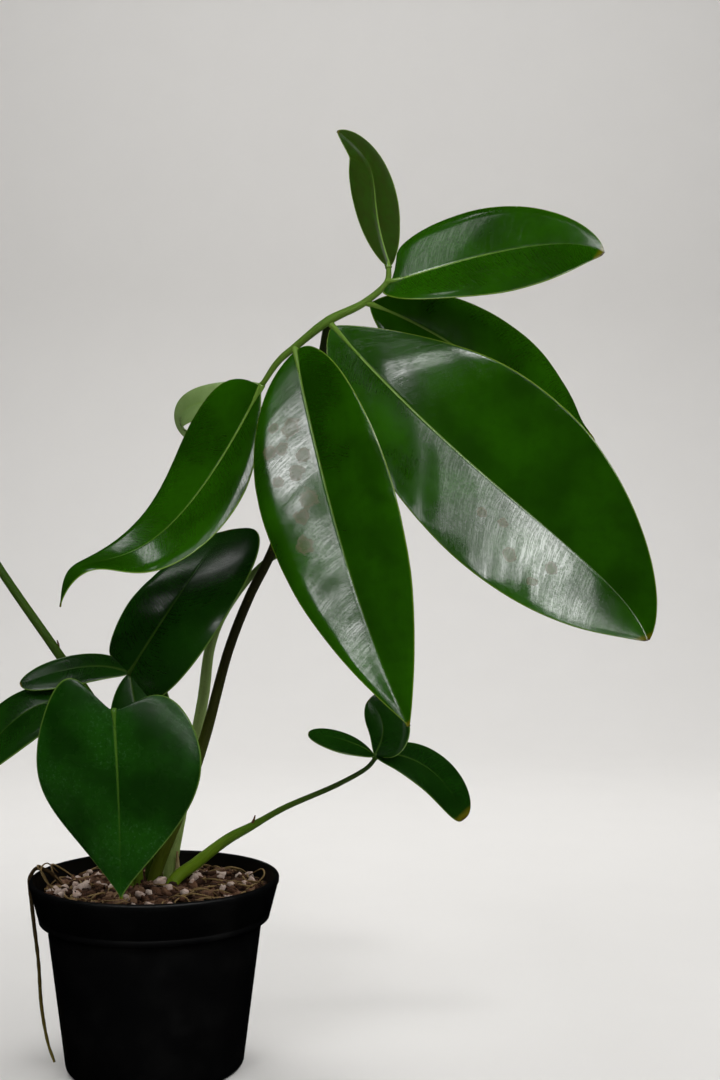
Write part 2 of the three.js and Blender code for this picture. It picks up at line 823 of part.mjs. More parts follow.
addPiece('pot', potGeometry(), 'pot');
addPiece('soil', soilGeometry(), 'soil');
addPiece('hanging_root', stemGeometry(HANGING_ROOT), 'root');
addPiece('scale_leaf', stemGeometry(SCALE_LEAF), 'paleStem');
for (const name of Object.keys(STEMS)) {
  addPiece(`${name}_petiole`, petioleGeometry(name), STEM_COLOURS[name] ?? 'greenStem');
}
for (const [name, leaflet] of Object.entries(LEAFLETS)) {
  addPiece(`leaf_a_${name}`, leafletGeometry(leaflet), 'leaf');
}
for (const name of Object.keys(SMALL_LEAVES)) {
  addPiece(`${name}_blade`, smallLeafGeometry(name), 'darkLeaf');
}

export default plant;
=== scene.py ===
# %% [markdown]
# # A potted Philodendron goeldii
# A young plant in a black nursery pot: one grown leaf, whose seven leaflets hang on a bow-shaped
# rachis, and six smaller leaves on their own stalks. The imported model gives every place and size.
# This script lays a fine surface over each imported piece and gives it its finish. Points are typed
# in millimetres, as a maker would measure them, and become metres when a mesh is built.

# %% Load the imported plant
import math

import bpy
import numpy as np
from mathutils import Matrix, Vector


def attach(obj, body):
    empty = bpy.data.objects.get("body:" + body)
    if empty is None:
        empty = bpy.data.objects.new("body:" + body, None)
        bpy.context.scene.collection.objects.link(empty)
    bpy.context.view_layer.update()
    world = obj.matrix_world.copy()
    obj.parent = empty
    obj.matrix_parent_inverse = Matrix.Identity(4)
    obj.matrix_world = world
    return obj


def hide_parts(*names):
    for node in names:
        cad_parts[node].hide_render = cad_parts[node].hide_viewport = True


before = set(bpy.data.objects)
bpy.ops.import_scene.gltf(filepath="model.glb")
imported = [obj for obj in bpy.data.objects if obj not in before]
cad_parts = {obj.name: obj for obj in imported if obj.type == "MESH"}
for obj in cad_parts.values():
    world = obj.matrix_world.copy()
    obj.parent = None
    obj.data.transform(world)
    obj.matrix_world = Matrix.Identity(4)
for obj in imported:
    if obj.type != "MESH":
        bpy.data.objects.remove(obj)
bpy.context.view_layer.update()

MM = 0.001

# %% [markdown]
# ## The camera
# The camera stands a little above the middle of the plant and looks level, so that upright lines
# stay upright. Its place was worked out from the ellipse of the pot's rim. Depth of field stays
# off, because every leaf has to be sharp from every side.

# %% Camera
CAMERA_PLACE = (91, -667, 233)
CAMERA_LENS = 50

camera = bpy.data.objects.new("camera", bpy.data.cameras.new("camera"))
camera.data.lens = CAMERA_LENS
camera.data.sensor_width = 36
camera.location = [number * MM for number in CAMERA_PLACE]
camera.rotation_euler = (math.radians(90), 0, 0)
bpy.context.scene.collection.objects.link(camera)
bpy.context.scene.camera = camera
print("camera", CAMERA_PLACE, "mm, lens", CAMERA_LENS)

# %% [markdown]
# ## Lines in space
# Stalks and midribs are smooth lines through a few points. `stem_line` bends through every point,
# `bow_line` only leans towards its two handles, as a drawn-out leaf does. `walk` then finds places
# by length, so that a share of 0.5 is the real middle of the line.


# %% Smooth lines
def unit(vectors):
    """Each vector divided by its own length."""
    return vectors / np.linalg.norm(vectors, axis=-1, keepdims=True)


def stem_line(points):
    """A smooth line through the points: between two of them it is a cubic, whose slopes at both
    ends come from the neighbouring points, weighted by the square roots of their distances."""
    points = np.array(points, float)
    padded = np.vstack([2 * points[0] - points[1], points, 2 * points[-1] - points[-2]])
    gap = np.sqrt(np.linalg.norm(np.diff(padded, axis=0), axis=1))[:, None]
    before, start, end, after = padded[:-3], padded[1:-2], padded[2:-1], padded[3:]
    gap_in, gap_mid, gap_out = gap[:-2], gap[1:-1], gap[2:]
    chord = (end - start) / gap_mid
    slope_in = (start - before) / gap_in - (end - before) / (gap_in + gap_mid) + chord
    slope_out = chord - (after - start) / (gap_mid + gap_out) + (after - end) / gap_out
    slope_in, slope_out = slope_in * gap_mid, slope_out * gap_mid
    step = np.linspace(0, 1, 40, endpoint=False)[:, None, None]
    square = 3 * (end - start) - 2 * slope_in - slope_out
    cube = 2 * (start - end) + slope_in + slope_out
    line = start + step * slope_in + step**2 * square + step**3 * cube
    return np.vstack([line.transpose(1, 0, 2).reshape(-1, 3), points[-1]])


def bow_line(points):
    """A cubic bow from the first point to the last, drawn towards the two handles between them:
    the four points weighted by (1-s)^3, 3s(1-s)^2, 3s^2(1-s) and s^3."""
    a, b, c, d = np.array(points, float)
    s = np.linspace(0, 1, 200)[:, None]
    return a * (1 - s) ** 3 + 3 * b * s * (1 - s) ** 2 + 3 * c * s**2 * (1 - s) + d * s**3


def walk(line, shares):
    """The points and the directions of a line at shares of its length, and that length."""
    steps = np.linalg.norm(np.diff(line, axis=0), axis=1)
    reached = np.concatenate([[0], np.cumsum(steps)]) / steps.sum()
    slopes = np.gradient(line, reached, axis=0)
    read = lambda table: np.stack([np.interp(shares, reached, column) for column in table.T], -1)
    return read(line), unit(read(slopes)), steps.sum()


# %% [markdown]
# ## From rings to a closed mesh
# Nearly every piece here is a stack of rings: a stalk's rings are round, and a blade's rings go
# over its upper face and back under it. Quads join each ring to the next, and a fan of triangles
# closes both ends, so the mesh is watertight. Each point can carry values, such as its distance
# from the midrib, and the finishes read them.


# %% Meshes from rings
def ring_faces(rows, loop):
    """Quads between neighbouring rings, and fans from two end points kept after the rings."""
    row = np.arange(rows - 1)[:, None] * loop
    here = np.arange(loop)[None, :]
    after = (here + 1) % loop
    quads = np.stack([row + here, row + after, row + loop + after, row + loop + here], -1)
    first, last = rows * loop, rows * loop + 1
    top = (rows - 1) * loop
    here, after = here[0], after[0]
    start_fan = np.stack([np.full(loop, first), after, here], -1)
    end_fan = np.stack([np.full(loop, last), top + here, top + after], -1)
    return quads.reshape(-1, 4), np.vstack([start_fan, end_fan])


def build_mesh(name, points, face_sets, values):
    """A smooth mesh object from points in millimetres, arrays of faces, and values by point."""
    mesh = bpy.data.meshes.new(name)
    corners = np.concatenate([faces.ravel() for faces in face_sets])
    sizes = np.concatenate([np.full(len(faces), faces.shape[1]) for faces in face_sets])
    mesh.vertices.add(len(points))
    mesh.vertices.foreach_set("co", (points * MM).astype(np.float32).ravel())
    mesh.loops.add(len(corners))
    mesh.loops.foreach_set("vertex_index", corners.astype(np.int32))
    mesh.polygons.add(len(sizes))
    mesh.polygons.foreach_set("loop_start", (np.cumsum(sizes) - sizes).astype(np.int32))
    mesh.polygons.foreach_set("use_smooth", np.ones(len(sizes), bool))
    mesh.update(calc_edges=True)
    for key, numbers in values.items():
        attribute = mesh.attributes.new(key, "FLOAT", "POINT")
        attribute.data.foreach_set("value", numbers.astype(np.float32).ravel())
    piece = bpy.data.objects.new(name, mesh)
    bpy.context.scene.collection.objects.link(piece)
    return piece


def ring_piece(name, stacks):
    """One mesh object from stacks of rings; each stack is its rings and its values by point."""
    points, quads, fans, values = [], [], [], {}
    count = 0
    for rings, marks in stacks:
        rows, loop, _ = rings.shape
        ends = np.stack([rings[0].mean(0), rings[-1].mean(0)])
        points.append(np.vstack([rings.reshape(-1, 3), ends]))
        ring_quads, ring_fans = ring_faces(rows, loop)
        quads.append(ring_quads + count)
        fans.append(ring_fans + count)
        count += rows * loop + 2
        for key, table in marks.items():
            full = np.broadcast_to(table, (rows, loop))
            closed = np.concatenate([full.ravel(), [full[0].mean(), full[-1].mean()]])
            values.setdefault(key, []).append(closed)
    values = {key: np.concatenate(parts) for key, parts in values.items()}
    return build_mesh(name, np.vstack(points), [np.vstack(quads), np.vstack(fans)], values)


def finish_piece(piece, finish, slot, *nodes):
    """Gives a piece its finish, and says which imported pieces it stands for."""
    piece.data.materials.append(finish)
    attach(piece, "root")
    if nodes:
        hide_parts(*nodes)
    print(piece.name, len(piece.data.polygons), "faces")
    return piece


# %% [markdown]
# ## Sums with sockets
# A finish is worked out from noise and from the values on the mesh. Written as bare nodes that is
# long to read, so `Wire` wraps a socket: `1 - wire * 2` adds the two Math nodes for it. A `Bench`
# holds one material and adds every other kind of node with one method. Colours go through a Mix
# node, because a Math node would turn them grey.


# %% Shader helpers
class Wire:
    """A socket that can be used in sums."""

    def __init__(self, tree, socket):
        self.tree, self.socket = tree, socket

    def maths(self, operation, *terms):
        """A Math node, with each term linked or typed in."""
        node = self.tree.nodes.new("ShaderNodeMath")
        node.operation = operation
        for slot, term in zip(node.inputs, terms):
            if isinstance(term, Wire):
                self.tree.links.new(term.socket, slot)
            else:
                slot.default_value = term
        return Wire(self.tree, node.outputs[0])

    def __add__(self, other):
        return self.maths("ADD", self, other)

    def __radd__(self, other):
        return self.maths("ADD", other, self)

    def __sub__(self, other):
        return self.maths("SUBTRACT", self, other)

    def __rsub__(self, other):
        return self.maths("SUBTRACT", other, self)

    def __mul__(self, other):
        return self.maths("MULTIPLY", self, other)

    def __rmul__(self, other):
        return self.maths("MULTIPLY", other, self)

    def __truediv__(self, other):
        return self.maths("DIVIDE", self, other)

    def __rtruediv__(self, other):
        return self.maths("DIVIDE", other, self)

    def __abs__(self):
        return self.maths("ABSOLUTE", self)

    def sine(self):
        return self.maths("SINE", self)


class Bench:
    """One material on the bench: its nodes, and its main shader."""

    def __init__(self, name, **constants):
        self.material = bpy.data.materials.new(name)
        self.material.use_nodes = True
        self.tree = self.material.node_tree
        self.shader = self.tree.nodes["Principled BSDF"]
        for key, value in constants.items():
            socket = key.replace("_", " ").title().replace("Ior", "IOR")
            self.shader.inputs[socket].default_value = value

    def node(self, kind, settings=None, inputs=None, output=0):
        """Adds a node: its settings first, then the values or links of its sockets."""
        made = self.tree.nodes.new("ShaderNode" + kind)
        for key, value in (settings or {}).items():
            if key == "stops":
                while len(made.color_ramp.elements) < len(value):
                    made.color_ramp.elements.new(1)
                for stop, (place, colour) in zip(made.color_ramp.elements, value):
                    stop.position, stop.color = place, colour
            else:
                setattr(made, key, value)
        for key, value in (inputs or {}).items():
            if isinstance(value, Wire):
                self.tree.links.new(value.socket, made.inputs[key])
            else:
                made.inputs[key].default_value = value
        return Wire(self.tree, made.outputs[output])

    def value(self, key):
        """A value that the mesh carries."""
        return self.node("Attribute", {"attribute_name": key}, output="Fac")

    def place(self, scale=(1, 1, 1)):
        """The point of the object, in metres, with each axis multiplied by scale."""
        spot = self.node("TexCoord", output="Object")
        return self.node("VectorMath", {"operation": "MULTIPLY"}, {0: spot, 1: scale})

    def noise(self, size, detail=3, rough=0.5, where=None):
        """Clouds with values near 0.5, whose lumps are about size millimetres across."""
        sockets = {"Vector": where or self.place(), "Scale": 1 / (size * MM)}
        return self.node("TexNoise", None, {**sockets, "Detail": detail, "Roughness": rough})

    def ease(self, wire, low, high, start=0.0, end=1.0):
        """start where the wire is low, end where it is high, and a soft step between them."""
        sockets = {0: wire, 1: low, 2: high, 3: start, 4: end}
        return self.node("MapRange", {"interpolation_type": "SMOOTHSTEP"}, sockets)

    def mix(self, share, first, second):
        """Two colours mixed: the second one by its share."""
        return self.node("Mix", {"data_type": "RGBA"}, {0: share, 6: first, 7: second}, output=2)

    def bump(self, height):
        """A height in millimetres, as a bend of the surface."""
        return self.node("Bump", None, {"Height": height, "Distance": MM})

    def feed(self, **sockets):
        """Links what changes over the surface to the shader's sockets."""
        for key, wire in sockets.items():
            self.tree.links.new(wire.socket, self.shader.inputs[key.replace("_", " ").title()])
        return self.material


def shade(red, green, blue):
    """A colour as a painter mixes it, 0 to 255, turned into the light that it sends back."""
    steps = np.array([red, green, blue]) / 255
    light = np.where(steps <= 0.04045, steps / 12.92, ((steps + 0.055) / 1.055) ** 2.4)
    return (*light.tolist(), 1.0)


# %% [markdown]
# ## The pot
# A nursery pot is pressed from thin black plastic: a tapered cup, a small step, and a tall collar
# with a rolled lip. It is a turned shape, so one profile goes round the axis in many fine steps.
# The drain holes are cut through its floor afterwards, as the mould's pins do.

# %% The pot's shape
POT = {
    "height": 84, "rim_radius": 55, "collar_height": 18.5, "collar_foot_radius": 50.8,
    "collar_wall": 2.4, "step": 0.8, "groove": 0.25, "shoulder_radius": 47.4, "base_radius": 39.4,
    "base_round": 3, "wall": 1.5, "floor": 2, "drain_holes": 6, "drain_radius": 3.5, "drain_circle": 27,
}
POT_SIDES = 192
AXIS_GAP = 0.05


def arc(middle, radius, start, end, steps=7):
    """Points of a round corner: middle + radius (cos, sin) from one angle to the other."""
    angle = np.radians(np.linspace(start, end, steps))
    return np.stack([middle[0] + radius * np.cos(angle), middle[1] + radius * np.sin(angle)], -1)


def turned(profile, sides):
    """Rings of a profile (radius, height) turned round the upright axis."""
    angle = np.linspace(0, 2 * np.pi, sides, endpoint=False)
    radius, height = profile[:, :1], profile[:, 1:]
    return np.stack([radius * np.cos(angle), radius * np.sin(angle), height + 0 * angle], -1)


def pot_profile():
    """The wall in section: from the middle of the underside, up the outside, over the rolled lip
    and down the inside to the middle of the floor. Offsets under a millimetre soften the corners,
    and a fine groove runs round the foot of the collar."""
    height = POT["height"]
    foot = height - POT["collar_height"]
    base, shoulder = POT["base_radius"], POT["shoulder_radius"]
    collar, rim = POT["collar_foot_radius"], POT["rim_radius"]
    corner, bead = POT["base_round"], POT["collar_wall"] / 2
    floor, groove = POT["floor"], POT["groove"]
    return np.vstack([
        [[AXIS_GAP, 0.6], [14, 0.6], [14.8, 0]],
        [[base - corner, 0]],
        arc((base - corner, corner), corner, -80, -5),
        [[shoulder - 0.3, foot - 2.6], [shoulder - 0.2, foot - 0.7]],
        arc((shoulder + 0.5, foot - 0.5), 0.5, 170, 95, 4),
        arc((collar - 0.6, foot + 0.6), 0.6, -85, -5, 5),
        [[collar + 0.35, foot + 2.2], [collar + 0.4 - groove, foot + 2.5]],
        [[collar + 0.45 - groove, foot + 2.8], [collar + 0.6, foot + 3.1]],
        [[rim - 0.45, height - 3.4], [rim - 0.1, height - 2.9]],
        arc((rim - bead, height - bead), bead, 0, 180, 15),
        [[rim - POT["collar_wall"], height - 2.9]],
        [[collar - POT["collar_wall"], foot + POT["step"]]],
        [[shoulder - POT["wall"], foot]],
        arc((base - POT["wall"] - 2, floor + 2), 2, -5, -85),
        [[AXIS_GAP, floor]],
    ])


# %% [markdown]
# ## Black plastic
# The plastic is satin, with a fine grain from the mould, faint rings from the tool that cut it,
# and a thin film of dust. Plain noise would look the same all round, so the rings read height
# alone and the dust reads large clouds.


# %% Black plastic
def pot_plastic():
    """Nearly black, with grain, turning rings, a few upright scratches and thin dust."""
    bench = Bench("black_plastic", specular_ior_level=0.3)
    grain = bench.noise(0.35, 2)
    clouds = bench.noise(16, 4, 0.6)
    rings = bench.noise(0.5, 2, where=bench.place((0.02, 0.02, 1)))
    scratch = bench.ease(bench.noise(1.1, 3, 0.7, where=bench.place((1, 1, 0.12))), 0.66, 0.74)
    dust = bench.ease(clouds, 0.45, 0.75) * 0.5 + scratch * 0.35
    colour = bench.mix(dust, shade(5, 5, 6), shade(15, 15, 14))
    rough = 0.36 + clouds * 0.16 + dust * 0.16
    height = grain * 0.012 + rings * 0.02 - scratch * 0.015
    return bench.feed(base_color=colour, roughness=rough, normal=bench.bump(height))


pot = ring_piece("nursery_pot", [(turned(pot_profile(), POT_SIDES), {})])
PIN_SIDES = 32
hole = POT["drain_radius"]
pin = turned(np.array([[0.02, -3.0], [hole, -3.0], [hole, 6], [0.02, 6]]), PIN_SIDES)
pins = []
for turn in np.linspace(0, 2 * np.pi, POT["drain_holes"], endpoint=False):
    middle = [POT["drain_circle"] * math.cos(turn), POT["drain_circle"] * math.sin(turn), 0]
    pins.append((pin + middle, {}))
cutter = ring_piece("drain_pins", pins)
cut = pot.modifiers.new("drain_holes", "BOOLEAN")
cut.operation, cut.object, cut.solver = "DIFFERENCE", cutter, "EXACT"
drilled = bpy.data.meshes.new_from_object(pot.evaluated_get(bpy.context.evaluated_depsgraph_get()))
pot.modifiers.clear()
pot.data = drilled
bpy.data.objects.remove(cutter)
finish_piece(pot, pot_plastic(), "pot", "pot")
print(len(pins), "drain holes of", 2 * hole, "mm")

# %% [markdown]
# ## The soil bed
# The mix is coir and bark with perlite. Its surface is a low mound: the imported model's own gentle
# waves, and small lumps that only the fine mesh can hold. It could be sculpted, but a sum of
# waves is told in one line and never repeats itself. The bed goes down inside the cup as a plain
# plug, because nothing below the surface shows.

# %% Soil bed
SOIL = {"level": 76.5, "mound": 2.2, "relief": 0.7, "mouth": 50.5, "settled": 0.6}
SOIL_SIDES, SOIL_ROWS = 240, 90
STALK_FEET = np.array([
    [-2.4, 13], [-5, 19], [-12.5, 3], [-9.5, 11], [7, 5.5], [-15.5, 13], [4, 18], [8.1, 14.6],
])


def soil_height(x, y):
    """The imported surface: level, a mound that falls with the square of the radius, and waves."""
    out = np.hypot(x, y) / POT["rim_radius"]
    waves = np.sin(0.21 * x + 1) * np.cos(0.17 * y) + np.sin(0.3 * (y - x)) / 2
    return SOIL["level"] + SOIL["mound"] * (1 - out**2) + SOIL["relief"] * waves


def lumps(x, y, size, seed):
    """Rounded lumps: the sum of eight waves about size long, each in its own direction."""
    draw = np.random.default_rng(seed)
    turn = draw.uniform(0, 2 * np.pi, 8)
    wave = 2 * np.pi / (size * draw.uniform(0.7, 1.5, 8))
    phase = draw.uniform(0, 2 * np.pi, 8)
    rays = x[..., None] * np.cos(turn) + y[..., None] * np.sin(turn)
    return np.sin(rays * wave + phase).sum(-1) / 4


def soil_rings():
    """Rings from the bottom of the cup up its wall, and then inwards over the lumpy surface."""
    angle = np.linspace(0, 2 * np.pi, SOIL_SIDES, endpoint=False)
    radius = SOIL["mouth"] * np.linspace(1, 0.002, SOIL_ROWS)[:, None]
    x, y = radius * np.cos(angle), radius * np.sin(angle)
    rough = 0.75 * lumps(x, y, 9, 3) + 0.5 * lumps(x, y, 4, 4) + 0.3 * lumps(x, y, 2, 5)
    top = np.stack([x, y, soil_height(x, y) - SOIL["settled"] + rough], -1)
    wall = np.array([[AXIS_GAP, 2.4], [37.4, 2.4], [45.4, 65.5], [46.4, 67], [49.9, 73.5]])
    return np.vstack([turned(wall, SOIL_SIDES), top])


# %% [markdown]
# ## Bits in the soil
# Hundreds of bark chips, crumbs and perlite grains lie on the bed. Each kind is one mesh: a lump
# of 24 faces is stretched, turned and set down many times with whole-array sums, so a few hundred
# bits cost no more than one leaf. A fixed seed gives the same bed every time.


# %% Bits scattered on the bed
def lump_shape():
    """A cube with each side in four, blown up about two thirds of the way to a ball."""
    steps = np.array([-1, 0, 1])
    grid = np.stack(np.meshgrid(steps, steps, steps, indexing="ij"), -1).reshape(-1, 3)
    shell = np.abs(grid).max(1) == 1
    number = np.cumsum(shell) - 1
    quads = []
    for axis in range(3):
        for side in (-1, 1):
            for u in (-1, 0):
                for v in (-1, 0):
                    corners = np.full((4, 3), side)
                    corners[:, (axis + 1) % 3] = np.array([0, 1, 1, 0]) + u
                    corners[:, (axis + 2) % 3] = np.array([0, 0, 1, 1]) + v
                    order = corners if side == 1 else corners[::-1]
                    quads.append(number[(order + 1) @ np.array([9, 3, 1])])
    ball = grid[shell] / np.linalg.norm(grid[shell], axis=1, keepdims=True)
    return 0.35 * grid[shell] + 0.65 * ball, np.array(quads)


def turn_matrices(tilt_x, tilt_y, spin):
    """One rotation for each bit: tilted about x, then about y, then spun about the upright."""
    zero, one = np.zeros_like(spin), np.ones_like(spin)
    matrix = lambda *rows: np.stack(rows, -1).reshape(-1, 3, 3)
    cx, sx, cy, sy = np.cos(tilt_x), np.sin(tilt_x), np.cos(tilt_y), np.sin(tilt_y)
    about_x = matrix(one, zero, zero, zero, cx, -sx, zero, sx, cx)
    about_y = matrix(cy, zero, sy, zero, one, zero, -sy, zero, cy)
    cz, sz = np.cos(spin), np.sin(spin)
    about_z = matrix(cz, -sz, zero, sz, cz, zero, zero, zero, one)
    return about_z @ about_y @ about_x


STALK_CLEARANCE = 2.6
DENT = 0.28


def scatter(name, count, low, high, tilt, lift, seed, reach=1.0):
    """Lumps between two sizes (x, y and z half sizes) set on the bed, clear of the stalks. Three
    places are drawn for each lump, evenly over the bed, and the first clear ones are kept."""
    draw = np.random.default_rng(seed)
    shape, quads = lump_shape()
    radius = (SOIL["mouth"] * reach - 0.8 * high[0]) * np.sqrt(draw.uniform(0, 1, 3 * count))
    angle = draw.uniform(0, 2 * np.pi, 3 * count)
    x, y = radius * np.cos(angle), radius * np.sin(angle)
    away = np.hypot(x[:, None] - STALK_FEET[:, 0], y[:, None] - STALK_FEET[:, 1]).min(1)
    clear = away > STALK_CLEARANCE + 0.8 * high[0]
    x, y = x[clear][:count], y[clear][:count]
    count = len(x)
    half = draw.uniform(low, high, (count, 3))
    dents = 1 + draw.uniform(-DENT, DENT, (count, len(shape), 1))
    turns = turn_matrices(*draw.uniform(-tilt, tilt, (2, count)), draw.uniform(0, 2 * np.pi, count))
    bits = np.einsum("nij,nkj->nki", turns, shape * dents * half[:, None])
    spots = np.stack([x, y, soil_height(x, y) + lift * half[:, 2]], -1)
    points = (bits + spots[:, None]).reshape(-1, 3)
    faces = (quads + len(shape) * np.arange(count)[:, None, None]).reshape(-1, 4)
    tone = np.repeat(draw.uniform(0, 1, count), len(shape))
    return build_mesh(name, points, [faces], {"tone": tone})


# %% [markdown]
# ## Bark, coir and perlite
# Bark is red-brown to nearly black and differs from chip to chip, so its colour reads the chip's
# own tone value. Perlite is a puffed mineral: chalk white, pitted, and here stained a little pink
# by the wet bark. The bed between the chips is dark and crumbly.


# %% Soil finishes
def bed_finish():
    """Dark crumbs, with paler clumps and specks of grit."""
    bench = Bench("coir_bed", specular_ior_level=0.15)
    clumps, grit = bench.noise(5, 5, 0.7), bench.noise(0.8, 4, 0.7)
    colour = bench.mix(bench.ease(clumps, 0.35, 0.7), shade(24, 16, 11), shade(78, 54, 38))
    colour = bench.mix(bench.ease(grit, 0.55, 0.72), colour, shade(112, 86, 64))
    return bench.feed(base_color=colour, roughness=0.98 - grit * 0.2, normal=bench.bump(grit * 0.6))


def bark_finish():
    """Fibrous brown, whose depth is each chip's own."""
    bench = Bench("bark", specular_ior_level=0.2)
    tone = bench.value("tone")
    fibre = bench.noise(0.6, 4, 0.65, where=bench.place((1, 0.3, 1)))
    browns = [shade(28, 18, 12), shade(64, 43, 31), shade(98, 70, 52), shade(140, 112, 88)]
    stops = list(zip((0.0, 0.4, 0.75, 1.0), browns))
    colour = bench.node("ValToRGB", {"stops": stops}, {0: tone * 0.8 + fibre * 0.4 - 0.1})
    return bench.feed(base_color=colour, roughness=0.95 - fibre * 0.2, normal=bench.bump(fibre * 0.35))


def perlite_finish():
    """Chalky and pitted, with brown stains."""
    bench = Bench("perlite", specular_ior_level=0.3)
    tone, pits = bench.value("tone"), bench.noise(0.45, 3, 0.6)
    stain = bench.ease(bench.noise(2.2, 3), 0.4, 0.75)
    colour = bench.mix(tone * 0.35 + stain * 0.45, shade(212, 194, 182), shade(158, 122, 104))
    colour = bench.mix(bench.ease(pits, 0.6, 0.72) * 0.6, colour, shade(112, 84, 70))
    return bench.feed(base_color=colour, roughness=0.9 - pits * 0.1, normal=bench.bump(pits * 0.3))


bed = ring_piece("soil_bed", [(soil_rings(), {})])
finish_piece(bed, bed_finish(), "soil", "soil")
bark, perlite = bark_finish(), perlite_finish()
chips = scatter("bark_chips", 330, (1.8, 1.0, 0.5), (4.6, 2.2, 1.2), 0.45, 0.5, 11)
finish_piece(chips, bark, "soil", "soil")
crumbs = scatter("bark_crumbs", 900, (0.5, 0.4, 0.3), (1.5, 1.0, 0.8), 0.8, 0.7, 12)
finish_piece(crumbs, bark, "soil", "soil")
grains = scatter("perlite_grains", 70, (1.1, 0.9, 0.8), (2.9, 2.4, 2.0), 0.6, 0.55, 13, 0.98)
finish_piece(grains, perlite, "soil", "soil")

# %% [markdown]
# ## Stalks
# A petiole is a fleshy, nearly round stalk that gets thinner upwards. A curve with a bevel could
# make it, but rings of our own can carry values. Each ring lies square to the line of the stalk,
# and carries how far along it is and the two parts of its turn, so streaks in the finish can
# follow the stalk and close round it without a seam.

# %% Stalk shapes
RACHIS = [
    [50.3, -44, 297.4], [57.4, -47, 307], [64.2, -49, 312.5], [77.9, -52, 322.8],
    [93.1, -46, 331.5], [102.2, -45, 340], [103, -43, 346.2],
]
APEX = RACHIS[3]
STALKS = {
    "leaf_a": (
        [[-4, 13, 62], [-2.4, 13, 79], [10.4, 12.5, 113], [20.5, 12, 142.6], [32, 9, 184],
         [41.6, 6, 208], [51.3, 2, 227], [66.4, -14, 268], [75.6, -40, 312], APEX],
        [3, 2.9, 2.5, 2.2, 2.1, 2, 1.9, 1.7],
    ),
    "leaf_b": (
        [[-6, 20, 62], [-5, 19, 80], [-6, 10, 120], [-9.5, -2, 156], [-8.6, -9, 171], [-7.8, -14, 175.8]],
        [2.4, 2.2, 1.8, 1.5, 1.1],
    ),
    "leaf_c": (
        [[-12, 5, 62], [-12.5, 3, 80], [-14, -13, 122], [-12.5, -36, 153], [-10, -48, 161.8],
         [-9.2, -53, 162.6]],
        [2.4, 2.2, 1.8, 1.5, 1.1],
    ),
    "leaf_d": (
        [[-10.5, 10, 62], [-9.5, 11, 81], [-17.6, 12, 120], [-27.9, 14, 155], [-46.5, 16, 181.5],
         [-73.9, 20, 219.7], [-85, 22, 238], [-87, 22.3, 244]],
        [2.6, 2.5, 2.3, 2.2, 2.1, 2, 1.5],
    ),
    "leaf_e": (
        [[5.5, 3, 62], [7, 5.5, 79], [16.1, 17, 85.5], [28.8, 40, 92.1], [38.8, 58, 94.8],
         [53.6, 72, 101], [80.9, 88, 110.5], [95, 92.5, 118], [98.6, 93.2, 122.2]],
        [3, 2.9, 2.6, 2.4, 1.6, 1.4, 1.3, 1.1],
    ),
    "leaf_f": (
        [[-14.5, 14.5, 62], [-15.5, 13, 80], [-19, 0, 120], [-22.5, -14, 147], [-24.5, -20.5, 157]],
        [2.2, 2, 1.7, 1.4, 1.1],
    ),
    "leaf_g": (
        [[4, 18, 62], [4, 18, 79], [10, 21, 113.7], [18.9, 21, 159.6], [22.5, 21, 184.8],
         [28.8, 21, 200], [46, 21, 221.5], [57, 20.5, 228.5], [60.5, 20.2, 232.5]],
        [3.3, 3, 2.6, 2.6, 2.6, 2.2, 1.6, 1.1],
    ),
}


def tube(line, radii, rings=60, sides=20, beside=(1, 0, 0), knots=0.0):
    """Rings square to a line: its point + radius (cos across + sin up). The radius is read along
    the list of radii, and knots makes it swell and shrink a little. beside is a direction that
    the line never takes."""
    share = np.linspace(0, 1, rings)
    centre, way, length = walk(line, share)
    across = unit(np.array(beside) - (way @ np.array(beside))[:, None] * way)
    up = np.cross(way, across)
    radius = np.interp(share * (len(radii) - 1), np.arange(len(radii)), radii)[:, None]
    angle = np.linspace(0, 2 * np.pi, sides, endpoint=False)
    swell = np.sin(share * length * 0.9)[:, None] * np.sin(2 * angle + share[:, None] * 9)
    radius = radius * (1 + knots * swell)
    rounded = across[:, None] * np.cos(angle)[:, None] + up[:, None] * np.sin(angle)[:, None]
    marks = {
        "along": share[:, None], "length": (share * length)[:, None],
        "turn_x": np.cos(angle)[None, :], "turn_y": np.sin(angle)[None, :],
    }
    return centre[:, None] + rounded * radius[..., None], marks


# %% [markdown]
# ## Stalk finishes
# A stalk is brightest where it leaves the soil and takes a deeper green higher up, with fine pale
# streaks along it and small corky flecks. The grown leaf's stalk is olive brown. Every stalk uses
# the same recipe with its own three colours.


# %% Stalk finish
def stalk_finish(name, foot, middle, top, flecks):
    """Three colours from the foot up, streaks along the stalk, and flecks of a fourth colour."""
    bench = Bench(name, specular_ior_level=0.14)
    along, length = bench.value("along"), bench.value("length")
    sockets = {0: bench.value("turn_x") * 3, 1: bench.value("turn_y") * 3, 2: length * 0.06}
    round_the_stalk = bench.node("CombineXYZ", None, sockets)
    streaks = bench.node("TexNoise", None, {"Vector": round_the_stalk, "Scale": 1.6, "Detail": 4.0})
    stops = [(0.0, foot), (0.45, middle), (1.0, top)]
    colour = bench.node("ValToRGB", {"stops": stops}, {0: along + streaks * 0.25 - 0.12})
    spots = bench.ease(bench.noise(1.3, 3, 0.6), 0.62, 0.72)
    colour = bench.mix(spots * 0.55, colour, flecks)
    fine = bench.noise(0.5, 2)
    rough = 0.4 + streaks * 0.18 + spots * 0.15
    height = streaks * 0.25 + fine * 0.03
    return bench.feed(base_color=colour, roughness=rough, normal=bench.bump(height))


